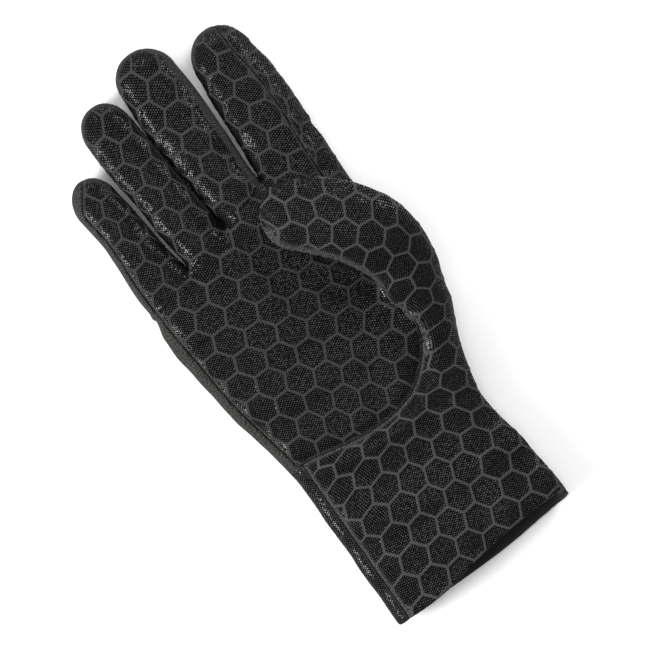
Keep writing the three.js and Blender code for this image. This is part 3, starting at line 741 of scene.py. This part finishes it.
MARK_LEVEL = 12.0
print("marks:", len(PALM_MARKS), "on the palm,", len(CUFF_MARKS), "on the thumb and cuff")

# %% [markdown]
# ## Unrolling the front
# A limb's flank is steep, so little of it shows from above, and a print laid on from above would be
# smeared down it. Before the spline is used, each place is moved outwards by a part of how far it lies
# below the limb's crest: that lays the flanks out flat, as the cloth was before it was bent round.

# %% Flat places on the palm and the cuff
FLANK_SHARE = 0.6
CREST_WIDTH = 4.0
DEEPEST = 30.0


def spread(across, drop, share=FLANK_SHARE):
    """How far a place moves outwards, when it lies `drop` below the crest of its limb."""
    return np.tanh(across / CREST_WIDTH) * share * np.clip(drop, 0, DEEPEST)


def palm_place(p):
    """Flat places for points of the palm and of the fingers' fronts."""
    x, y, z = p.T
    middle, _, tall, level, _ = hand_section(x, y)
    shift = spread(x - middle, level + tall - z)
    nearest = sample(all_fingers, p)
    for name, finger in FINGERS.items():
        centre, _, tall, level, _ = finger_section(finger, y)
        own = np.abs(sample(finger_fields[name], p) - nearest) < 1e-4
        weight = ease(y, 50, 78) * own
        shift = shift + (spread(x - centre, level + tall - z) - shift) * weight
    return np.stack([x + shift, y], 1)


def cuff_place(p):
    """Flat places for points of the cuff and the thumb."""
    x, y, z = p.T
    middle, _, tall, level, _ = hand_section(x, y)
    along, across, above = thumb_place(p).T
    _, thumb_tall, _ = thumb_section(along)
    weight = ease(along, 25, 60)
    step = np.clip((along / LINE_STEP).astype(int), 0, len(LINE) - 1)
    thumb_shift = ACROSS[step, :2] * spread(across, thumb_tall - above)[:, None]
    hand_shift = np.stack([spread(x - middle, level + tall - z), 0 * x], 1)
    return p[:, :2] + hand_shift + (thumb_shift - hand_shift) * weight[:, None]


middle_spot = np.array([[0.0, 0.0, PALM_THICK], [-50.0, 0.0, SEAM_Z]])
print("crest and flank of the palm unroll to x =", palm_place(middle_spot)[:, 0].round(1), "mm")

# %% [markdown]
# ## Unrolling the back
# The back lies on the floor and its panel wraps round both sides, so it is unrolled by the same rule the
# other way up. Its strips on the front are folded outwards at the glove's edge first. No mark is needed
# here: nothing of its print runs on from another panel, because a seam lies between them.

# %% Flat places on the back
BACK_SHARE = 0.65
STRIP_FROM, STRIP_FULL = 14, 10
PRINT_START = np.array([60, -83])


def outer_edges(x, y):
    """The left and right ends of the whole glove at places in plan."""
    middle, half, *_ = hand_section(x, y)
    left_centre, left_half, *_ = finger_section(FINGERS["pinky"], y)
    right_centre, right_half, *_ = finger_section(FINGERS["index"], y)
    on_finger = ease(y, 45, 75)
    left = middle - half + (left_centre - left_half - middle + half) * on_finger
    right = middle + half + (right_centre + right_half - middle - half) * on_finger
    return left, right


def back_place(p):
    """Unrolls the back, and folds out the strips that wrap round to the front."""
    x, y, z = p.T
    left, right = outer_edges(x, y)
    wrapped = ease(z, SEAM_Z - 2, SEAM_Z + 2)
    unrolled = x + 2 * (right - x) * wrapped * ease(x, right - STRIP_FROM, right - STRIP_FULL)
    unrolled = unrolled + 2 * (left - x) * wrapped * ease(x, left + STRIP_FROM, left + STRIP_FULL)
    unrolled = unrolled + spread(x - (left + right) / 2, z, BACK_SHARE)
    return np.stack([PRINT_START[0] - unrolled, y + PRINT_START[1]], 1)


edges = outer_edges(np.zeros(1), np.zeros(1))
print("the glove's edges beside the palm's middle: x =", [round(float(e[0]), 1) for e in edges], "mm")

# %% [markdown]
# ## The spline from marks to print
# The marks are first put onto the curved skin, along the camera's lines of sight. A thin-plate spline is
# the shape that a thin sheet takes when it is pinned at a few points: it meets the marks nearly, and is
# smooth between them. A stiffness lets it miss each mark a little, so that small errors in reading them
# don't show.

# %% The spline
def seen_on(field, marks):
    """Puts marks, measured as seen by the camera, onto a field's upper surface."""
    level = np.full(len(marks), MARK_LEVEL)
    for _ in range(3):
        share = ((EYE[2] - level) / (EYE[2] - MARK_LEVEL))[:, None]
        plan = EYE[:2] + (marks[:, :2] - EYE[:2]) * share
        cell = np.round((plan - LOW[:2]) / VOXEL).astype(int)
        inside = field[cell[:, 0], cell[:, 1]] < 0
        highest = inside.shape[1] - 1 - inside[:, ::-1].argmax(1)
        level = np.where(inside.any(1), AXES[2][highest], level)
    return np.column_stack([plan, level])


def warp(places, marks, stiffness=15.0):
    """A thin-plate spline that carries `places` near to `marks`."""
    def kernel(a, b):
        squares = ((a[:, None] - b[None]) ** 2).sum(2)
        return 0.5 * squares * np.log(squares + 1e-9)

    count = len(places)
    flat = np.column_stack([np.ones(count), places])
    bending = kernel(places, places) + stiffness * np.eye(count)
    system = np.block([[bending, flat], [flat.T, np.zeros((3, 3))]])
    weights = np.linalg.solve(system, np.concatenate([marks, np.zeros((3, 2))]))

    def carry(spots):
        plane = np.column_stack([np.ones(len(spots)), spots])
        return kernel(spots, places) @ weights[:count] + plane @ weights[count:]

    return carry


FLAT_STEPS = np.array([PITCH * math.sqrt(3) / 2, PITCH])
palm_warp = warp(palm_place(seen_on(body, PALM_MARKS)), PALM_MARKS[:, 2:] * FLAT_STEPS)
cuff_warp = warp(cuff_place(seen_on(skin, CUFF_MARKS)), CUFF_MARKS[:, 2:] * FLAT_STEPS)
PRINTS = {
    "palm_panel": lambda p: palm_warp(palm_place(p)),
    "cuff_thumb_panel": lambda p: cuff_warp(cuff_place(p)),
    "thumb_inner_panel": lambda p: cuff_warp(cuff_place(p)),
    "back_panel": back_place,
}
for title, carry, place, field, marks in (("palm", palm_warp, palm_place, body, PALM_MARKS),
                                          ("cuff", cuff_warp, cuff_place, skin, CUFF_MARKS)):
    miss = carry(place(seen_on(field, marks))) - marks[:, 2:] * FLAT_STEPS
    print(title, "marks are met within", round(float(np.hypot(*miss.T).max()), 2), "mm")

# %% [markdown]
# ## The print as a lattice
# The hexagons are one regular lattice on the flat cloth, 14.5 mm from middle to middle. An image would do
# for them, but a formula is sharp at any distance. Two offset grids of rectangles hold all the middles,
# so the nearer middle of the two gives the hexagon that a place belongs to.

# %% The hexagon print
def hex_edge(uv):
    """Distance to the nearest border line of the hexagon print."""
    cell = np.array([PITCH * math.sqrt(3), PITCH])
    best = None
    for shift in (0.0, 0.5):
        q = np.abs((uv / cell + shift + 0.5) % 1.0 - 0.5) * cell
        radius = np.maximum(q[:, 1], q[:, 1] * 0.5 + q[:, 0] * math.sqrt(3) / 2)
        best = radius if best is None else np.minimum(best, radius)
    return PITCH / 2 - best


print("from a hexagon's middle to its border line:", round(float(hex_edge(np.zeros((1, 2)))[0]), 2), "mm")

# %% [markdown]
# ## Plain edges
# The print stops short of some edges: beside a seam, round the fingertips, on the fingers' flanks towards
# the thumb, and along the thumb's lower edge the speckled cloth shows. On the strip that wraps round the
# cuff the cloth is dotted all over, without hexagons. Separate materials would meet in hard, jagged lines
# there, so two numbers for each vertex say how far the print shows, and how far its border lines do.

# %% Where the print shows
# How far the print runs on over the foot of the thumb, where it blends into the hand.
THUMB_FOOT = 8.0
cuff_and_thumb = np.minimum(cuff_front, np.maximum(-thumb_above, thumb - THUMB_FOOT))
REGIONS = {
    "palm_panel": palm_front,
    "cuff_thumb_panel": np.maximum(cuff_and_thumb, -palm_region),
    "thumb_inner_panel": np.maximum(thumb_region, -cuff_region),
    "back_panel": np.maximum(np.maximum(-palm_region, -cuff_region), -thumb_region),
}
PLAIN_EDGE = {"cuff_thumb_panel": (0.9, 2.4)}
USUAL_EDGE = (0.5, 1.4)


def plain_rim(points):
    """1 on the plain cloth round the fingertips and on each finger's flank towards the thumb."""
    x, y, _ = points.T
    nearest = sample(all_fingers, points)
    rim = 0 * x
    for name, finger in FINGERS.items():
        centre, half, _, _, past = finger_section(finger, y)
        own = np.abs(sample(finger_fields[name], points) - nearest) < 1e-4
        side = (x - centre) / half
        tip = ease(np.hypot(side, past), 1 - 2.8 / half, 1 - 1.4 / half) * ease(past, 0.1, 0.5)
        flank = ease(side, 1 - (finger["plain"] + 0.6) / half, 1 - (finger["plain"] - 0.6) / half)
        rim = np.maximum(rim, np.maximum(tip, flank) * own * ease(y, 62, 82))
    return rim


def print_shown(name, points):
    """How far the print shows, and how far its hexagons do, at each point."""
    x, y, z = points.T
    start, end = PLAIN_EDGE.get(name, USUAL_EDGE)
    shown = ease(-sample(REGIONS[name], points), start, end)
    lined = 1 + 0 * x
    if name == "palm_panel":
        shown = shown * (1 - plain_rim(points))
    if name == "cuff_thumb_panel":
        # Plain along the thumb's lower edge, from its bend on.
        along, across, above = thumb_place(points).T
        low_edge = ease(across, -4, -8) * ease(above, 7.5, 5) * ease(along, 50, 62)
        shown = shown * (1 - low_edge)
    if name == "back_panel":
        # The strip on the front is dotted beside the cuff, and plain beside the palm.
        strip = ease(z, 2, 5) * ease(x, -22, -28)
        on_cuff = ease(y, -45, -60)
        shown = shown * (1 - strip * (1 - on_cuff))
        lined = 1 - strip * on_cuff
    return shown, lined


coverage = {name: print_shown(name, meshes[name][0]) for name in meshes}
for name, (shown, lined) in coverage.items():
    print(name, "is printed on", round(100 * float(shown.mean())), "% of its net")

# %% [markdown]
# ## Relief
# The border cloth stands a quarter of a millimetre proud of the printed cells, because the rubber presses
# the knit down. Bump in a material shades that well, but leaves the outline of a finger smooth, where the
# real one has small steps. So it is real geometry: each vertex of the outer face moves along the skin's
# normal.

# %% Raised borders
# Half the width of a border line, how far it rises, and what is added to the distance where no line shows.
BORDER = 0.60
RELIEF = 0.28
NO_BORDER = 5.0


def normals_at(points):
    """The skin's outward normals, from the slopes of its field."""
    steps = np.eye(3) * VOXEL
    slopes = np.stack([sample(skin, points + step) - sample(skin, points - step) for step in steps], 1)
    return slopes / np.maximum(np.linalg.norm(slopes, axis=1)[:, None], 1e-6)


def raised(points, uv, shown, lined):
    """Points of a panel, with its borders and plain cloth standing proud on the outer face."""
    outer = 1 - ease(-sample(skin, points), 0.3, 1.2)
    from_border = hex_edge(uv) + NO_BORDER * (1 - lined)
    rise = RELIEF * (1 - ease(from_border, BORDER * 0.6, BORDER * 2.2) * shown)
    moved = points + normals_at(points) * (rise * outer)[:, None]
    moved[:, 2] = np.maximum(moved[:, 2], 0.0)
    return moved


print("borders stand", RELIEF, "mm proud and are", 2 * BORDER, "mm wide")

# %% [markdown]
# ## Panels as objects
# Now each net becomes a Blender mesh. It carries its place in the print as a UV map in metres of flat
# cloth, the two numbers as attributes, and one of three materials on each face. A face's depth below the
# skin tells which: outer cloth, cut edge or lining. Painting that by hand would have to be done again
# after each change.

# %% Meshes and their data
# Depths below the skin where the cut edge and the lining start, and the three material slots.
EDGE_DEPTH, LINING_DEPTH = 0.7, WALL - 0.6
OUTER, EDGE, INNER = 0, 1, 2


def make_panel(name):
    """The cloth piece of a panel, with its print map, its attributes and its material slots."""
    points, quads = meshes[name]
    uv = PRINTS[name](points)
    shown, lined = coverage[name]
    moved = raised(points, uv, shown, lined)
    mesh = bpy.data.meshes.new(name)
    mesh.from_pydata(moved / 1000, [], quads[:, ::-1].tolist())
    for title, values in (("printed", shown), ("lined", lined)):
        attribute = mesh.attributes.new(title, "FLOAT", "POINT")
        attribute.data.foreach_set("value", values.astype(np.float32))
    layer = mesh.uv_layers.new(name="print")
    corner = np.empty(len(mesh.loops), np.int32)
    mesh.loops.foreach_get("vertex_index", corner)
    layer.data.foreach_set("uv", (uv[corner] / 1000).astype(np.float32).ravel())
    mesh.polygons.foreach_set("use_smooth", np.ones(len(mesh.polygons), bool))
    depth = -sample(skin, points[quads].mean(1))
    slots = np.where(depth > LINING_DEPTH, INNER, np.where(depth > EDGE_DEPTH, EDGE, OUTER))
    mesh.polygons.foreach_set("material_index", slots.astype(np.int32))
    piece = bpy.data.objects.new(name + "_cloth", mesh)
    bpy.context.scene.collection.objects.link(piece)
    return piece


panels = {name: make_panel(name) for name in PANELS}
print("made", len(panels), "panels,", sum(len(p.data.polygons) for p in panels.values()), "faces")

# %% [markdown]
# ## Writing shader nodes
# The print is worked out in the shader from the UV map, with arithmetic: that takes dozens of small math
# nodes. Laid out by hand in the editor they are hard to follow. A small class writes each of them as one
# call, and takes either a number or the output of another node.

# %% Shader helpers
class Nodes:
    """A small pencil for node trees."""

    def __init__(self, material):
        material.use_nodes = True
        self.material = material
        self.tree = material.node_tree
        self.shader = self.tree.nodes["Principled BSDF"]

    def plug(self, node, number, value):
        if isinstance(value, bpy.types.NodeSocket):
            self.tree.links.new(value, node.inputs[number])
        else:
            node.inputs[number].default_value = value

    def math(self, operation, a, b=0.0):
        node = self.tree.nodes.new("ShaderNodeMath")
        node.operation = operation
        self.plug(node, 0, a)
        self.plug(node, 1, b)
        return node.outputs[0]

    def vector(self, operation, a, b=(0, 0, 0), scale=None):
        node = self.tree.nodes.new("ShaderNodeVectorMath")
        node.operation = operation
        self.plug(node, 0, a)
        self.plug(node, 1, b)
        if scale is not None:
            self.plug(node, 3, scale)
        return node.outputs[0]

    def split(self, vector):
        node = self.tree.nodes.new("ShaderNodeSeparateXYZ")
        self.plug(node, 0, vector)
        return node.outputs[0], node.outputs[1]

    def steps(self, value, low, high):
        node = self.tree.nodes.new("ShaderNodeMapRange")
        node.interpolation_type = "SMOOTHSTEP"
        for number, v in enumerate((value, low, high, 0.0, 1.0)):
            self.plug(node, number, v)
        return node.outputs[0]

    def mix(self, factor, a, b):
        node = self.tree.nodes.new("ShaderNodeMix")
        node.data_type = "RGBA"
        self.plug(node, 0, factor)
        self.plug(node, 6, a)
        self.plug(node, 7, b)
        return node.outputs[2]

    def noise(self, vector, scale, detail=3.0):
        node = self.tree.nodes.new("ShaderNodeTexNoise")
        self.plug(node, 0, vector)
        self.plug(node, 2, scale)
        self.plug(node, 3, detail)
        return node.outputs[0]

    def attribute(self, name):
        node = self.tree.nodes.new("ShaderNodeAttribute")
        node.attribute_name = name
        return node.outputs["Fac"]

    def relief(self, height, distance, strength):
        bump = self.tree.nodes.new("ShaderNodeBump")
        bump.inputs["Distance"].default_value = distance
        bump.inputs["Strength"].default_value = strength
        self.plug(bump, "Height", height)
        self.set("Normal", bump.outputs[0])

    def set(self, name, value):
        self.plug(self.shader, name, value)

    def print_place(self):
        uv = self.tree.nodes.new("ShaderNodeUVMap")
        uv.uv_map = "print"
        return self.vector("SCALE", uv.outputs[0], scale=1000.0)


print("node helpers:", len([name for name in vars(Nodes) if not name.startswith("_")]))

# %% [markdown]
# ## The lattice in the shader
# This is the lattice of hexagons once more, now for the shader. It serves twice: at 14.5 mm for the
# hexagons, and at 1.3 mm for the rubber dots inside them, which are printed in the same close packing.

# %% Hexagons as nodes
def hexagons(n, place, pitch):
    """Two distances in mm from the nearest middle of a lattice: to a flat side, and straight."""
    cell = (pitch * math.sqrt(3), pitch, 1.0)
    to_side, straight = [], []
    for shift in (0.0, 0.5):
        q = n.vector("DIVIDE", place, cell)
        q = n.vector("ADD", q, (shift + 0.5, shift + 0.5, 0.0))
        q = n.vector("FRACTION", q)
        q = n.vector("SUBTRACT", q, (0.5, 0.5, 0.0))
        q = n.vector("ABSOLUTE", q)
        q = n.vector("MULTIPLY", q, cell)
        x, y = n.split(q)
        half_y = n.math("MULTIPLY", y, 0.5)
        slanted = n.math("ADD", half_y, n.math("MULTIPLY", x, math.sqrt(3) / 2))
        to_side.append(n.math("MAXIMUM", y, slanted))
        squares = n.math("ADD", n.math("MULTIPLY", x, x), n.math("MULTIPLY", y, y))
        straight.append(n.math("SQRT", squares))
    return n.math("MINIMUM", *to_side), n.math("MINIMUM", *straight)


DOT_PITCH = 1.3
print("lattices:", PITCH, "mm for the hexagons,", DOT_PITCH, "mm for the dots")

# %% [markdown]
# ## Where border, cell and dot lie
# The cloth is a dark knit with a frayed border round each hexagon. Inside, small domes of rubber stand in
# rows. Two masks say what a place is: one is 1 in the printed cells, the other on the dots. They could be
# painted, but the lattice has the distances already. Each mask fades over a few tenths of a millimetre,
# because printed rubber bleeds into the knit, and noise shifts the border line, so that it frays.

# %% Masks of the print
LINE_START, LINE_END = BORDER - 0.25, BORDER + 0.30
DOT_TOP, DOT_FOOT = 0.26, 0.58
FRAY = 0.9


def print_masks(n, place, shown):
    """1 in the printed cells, and 1 on the dots in them."""
    to_side, _ = hexagons(n, place, PITCH)
    inside = n.math("SUBTRACT", PITCH / 2, to_side)
    fray = n.math("MULTIPLY", n.math("SUBTRACT", n.noise(place, 1.3, 2.0), 0.5), FRAY)
    inside = n.math("ADD", inside, fray)
    unlined = n.math("MULTIPLY", n.math("SUBTRACT", 1.0, n.attribute("lined")), NO_BORDER)
    inside = n.math("ADD", inside, unlined)
    cell = n.math("MULTIPLY", n.steps(inside, LINE_START, LINE_END), shown)
    _, from_dot = hexagons(n, place, DOT_PITCH)
    dot = n.math("SUBTRACT", 1.0, n.steps(from_dot, DOT_TOP, DOT_FOOT))
    return cell, dot


print("a border line fades from", LINE_START, "to", LINE_END, "mm inside a hexagon's side")

# %% [markdown]
# ## Colours of cloth and rubber
# Black neoprene is never one black. The knit is a dark grey with lighter yarns and soft patches, the
# unprinted cloth is speckled, and the rubber dots are worn unevenly. Two colours and a noise for each
# give that, without an image. On the thumb and cuff `lift` makes the same cloth lighter than the palm's:
# that is painted light, standing in for the brighter sheen on the raised thumb.

# %% Cloth and rubber colours
KNIT_DARK, KNIT_LIGHT = (0.0190, 0.0198, 0.0203), (0.0330, 0.0344, 0.0352)
FLECK_DARK, FLECK_LIGHT = (0.006, 0.006, 0.006), (0.052, 0.051, 0.047)
RUBBER_DULL, RUBBER_PALE = (0.0022, 0.0022, 0.0024), (0.0105, 0.0107, 0.0113)
GROUND = (0.0005, 0.0005, 0.0006, 1)


def tint(colour, lift=1.0):
    return tuple(part * lift for part in colour) + (1,)


def cloth_colour(n, place, knit, shown, lift):
    """The knit between the cells, and the speckled plain cloth where nothing is printed."""
    patches = n.noise(place, 0.05, 1.0)
    shade = n.math("ADD", n.math("MULTIPLY", patches, 0.5), n.math("MULTIPLY", knit, 0.5))
    cloth = n.mix(shade, tint(KNIT_DARK, lift), tint(KNIT_LIGHT, lift))
    speckle = n.steps(n.noise(place, 1.5, 2.0), 0.44, 0.62)
    plain = n.mix(speckle, tint(FLECK_DARK), tint(FLECK_LIGHT, lift))
    return n.mix(shown, plain, cloth)


def cell_colour(n, dot, wear, lift):
    """Rubber dots on the black ground of a cell."""
    rubber = n.mix(wear, tint(RUBBER_DULL, lift), tint(RUBBER_PALE, lift))
    return n.mix(dot, GROUND, rubber)


print("knit is", round(KNIT_LIGHT[0] / RUBBER_PALE[0], 1), "times as light as the palest rubber")

# %% [markdown]
# ## Shine and relief
# Some dots are dull, and some catch the lamp as bright points on the flanks. One gloss for the whole
# cloth would make it look wet. So roughness, shine and a thin clear coat follow the dots, and the coat
# follows their wear. A bump rounds each dot and gives the knit its grain: both are too small to be
# geometry.

# %% The print's material
CLOTH_ROUGHNESS, DOT_GLOSS, WEAR_GLOSS = 0.82, 0.20, 0.18
DOT_SHINE, BORDER_SHINE = 0.24, 0.10
COAT, COAT_ROUGHNESS = 0.50, 0.26
DOT_HEIGHT, KNIT_HEIGHT, WAVE_HEIGHT, BORDER_HEIGHT = 0.26, 0.10, 0.30, 0.14


def printed_neoprene(name, lift):
    """`lift` makes the cloth lighter; above 1 it paints light into the cloth's colour."""
    n = Nodes(bpy.data.materials.new(name))
    place = n.print_place()
    shown = n.attribute("printed")
    cell, dot = print_masks(n, place, shown)
    dots = n.math("MULTIPLY", dot, cell)
    border = n.math("SUBTRACT", 1.0, cell)
    wear = n.steps(n.noise(place, 0.65, 1.0), 0.38, 0.62)
    knit = n.noise(place, 2.4, 2.0)

    cloth = cloth_colour(n, place, knit, shown, lift)
    n.set("Base Color", n.mix(cell, cloth, cell_colour(n, dot, wear, lift)))
    gloss = n.math("MULTIPLY", dots, n.math("ADD", DOT_GLOSS, n.math("MULTIPLY", wear, WEAR_GLOSS)))
    n.set("Roughness", n.math("SUBTRACT", CLOTH_ROUGHNESS, gloss))
    border_shine = n.math("MULTIPLY", border, BORDER_SHINE)
    n.set("Specular IOR Level", n.math("ADD", n.math("MULTIPLY", dots, DOT_SHINE), border_shine))
    n.set("Coat Weight", n.math("MULTIPLY", dots, n.math("MULTIPLY", wear, COAT)))
    n.set("Coat Roughness", COAT_ROUGHNESS)

    height = n.math("ADD", n.math("MULTIPLY", dots, DOT_HEIGHT), n.math("MULTIPLY", knit, KNIT_HEIGHT))
    height = n.math("ADD", height, n.math("MULTIPLY", n.noise(place, 0.7, 1.0), WAVE_HEIGHT))
    height = n.math("ADD", height, n.math("MULTIPLY", border, BORDER_HEIGHT))
    n.relief(height, 0.001, 1.0)
    return n.material


neoprene = printed_neoprene("printed_neoprene", 1.0)
# The thumb-and-cuff copy is painted lighter, standing in for the light that the raised thumb catches.
thumb_neoprene_painted_lighter = printed_neoprene("printed_neoprene_painted_lighter", 1.45)
print("nodes in the print's material:", len(neoprene.node_tree.nodes))

# %% [markdown]
# ## Cut edge and lining
# At the mouth the raw foam shows as a matte black edge, and behind it the darker jersey lining. Little
# light gets there, so neither needs a weave of its own: a fine grain in colour and relief keeps them from
# looking painted.

# %% Edge and lining
def plain_cloth(name, colour, roughness, scale):
    """Matte black cloth or foam with a grain of that scale."""
    n = Nodes(bpy.data.materials.new(name))
    grain = n.noise(n.print_place(), scale, 4.0)
    n.set("Base Color", n.mix(grain, tint(colour, 0.7), tint(colour, 1.4)))
    n.set("Roughness", roughness)
    n.relief(grain, 0.0003, 0.6)
    return n.material


cut_edge = plain_cloth("cut_edge", (0.012, 0.012, 0.012), 0.85, 3.0)
lining = plain_cloth("lining", (0.008, 0.008, 0.009), 0.9, 1.6)
print("materials:", [m.name for m in (neoprene, thumb_neoprene_painted_lighter, cut_edge, lining)])

# %% [markdown]
# ## The pieces take their places
# Each cloth panel gets its three materials and stands in for the plain panel of the construction. All
# four are glued to one another, so they ride on one body. Naming what each replaces keeps the plain one
# out of the render.

# %% Pieces in the frame
for name, piece in panels.items():
    # The thumb-and-cuff panel wears the copy with painted light in its colour.
    outer = thumb_neoprene_painted_lighter if name == "cuff_thumb_panel" else neoprene
    for material in (outer, cut_edge, lining):
        piece.data.materials.append(material)
    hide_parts(name)
    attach(piece, "root")
    print(piece.name, len(piece.data.polygons), "faces")

# %% [markdown]
# ## Stage and light
# Dark cloth needs a pale floor and light from the side: straight from above it would be one black shape.
# The low lamp on the little finger's side makes the dots on the left flanks shine. The one beyond the
# fingertips and the one beyond the thumb leave the palm under the thumb in shadow. A wide one overhead,
# and a pale world, keep the floor almost white. Large lamps give soft edges to shadows.

# %% Floor and lights
# Rows: name, place in metres, width in metres, power in watts.
LAMPS = (
    ("left", (-1.05, 0.08, 0.58), 0.60, 26),
    ("far", (0.15, 1.05, 0.55), 0.5, 5),
    ("top", (0.0, 0.1, 1.8), 1.2, 9),
    ("fill", (0.85, 0.40, 0.55), 0.6, 10),
)
LAMP_AIM = Vector((0, 0, 0.01))
WORLD_LIGHT = 0.30
FLOOR_WIDTH, FLOOR_LEVEL = 6, -0.0002


def floor():
    bpy.ops.mesh.primitive_plane_add(size=FLOOR_WIDTH, location=(0, 0, FLOOR_LEVEL))
    plane = bpy.context.object
    plane.name = "floor"
    n = Nodes(bpy.data.materials.new("floor"))
    n.set("Base Color", (0.92, 0.92, 0.92, 1))
    n.set("Roughness", 0.9)
    plane.data.materials.append(n.material)


def soft_light(name, place, size, power):
    light = bpy.data.lights.new(name, "AREA")
    light.shape = "DISK"
    light.size = size
    light.energy = power
    holder = bpy.data.objects.new(name, light)
    bpy.context.scene.collection.objects.link(holder)
    holder.location = place
    holder.rotation_euler = (LAMP_AIM - Vector(place)).to_track_quat("-Z", "Y").to_euler()


floor()
for lamp in LAMPS:
    soft_light(*lamp)
world = bpy.data.worlds.new("studio")
bpy.context.scene.world = world
world.use_nodes = True
background = world.node_tree.nodes["Background"]
background.inputs["Color"].default_value = (1, 1, 1, 1)
background.inputs["Strength"].default_value = WORLD_LIGHT

# %% [markdown]
# ## Camera
# The photo looks straight down at the glove from far away. A view without perspective would come near,
# but the raised thumb would look a little too small. So the camera stands 1.5 m up with a long lens, and
# is turned so that the fingers point up and to the left. FRAME_WIDTH is how much of the glove's level
# fills the picture.

# %% Camera
CAMERA_HEIGHT = EYE[2] / 1000
FRAME_WIDTH = 0.3218
FRAME_TURN = math.radians(-35)
FOCUS_LEVEL = 0.012
camera_data = bpy.data.cameras.new("camera")
camera_data.lens = camera_data.sensor_width * (CAMERA_HEIGHT - FOCUS_LEVEL) / FRAME_WIDTH
camera = bpy.data.objects.new("camera", camera_data)
camera.location = EYE / 1000
camera.rotation_euler = (0, 0, FRAME_TURN)
bpy.context.scene.collection.objects.link(camera)
bpy.context.scene.camera = camera
bpy.context.scene.view_settings.view_transform = "Standard"
print("lens:", round(camera_data.lens, 1), "mm")

# %% [markdown]
# ## The glove's size
# The cloth may stand a little proud of the construction, but the glove must not have grown.
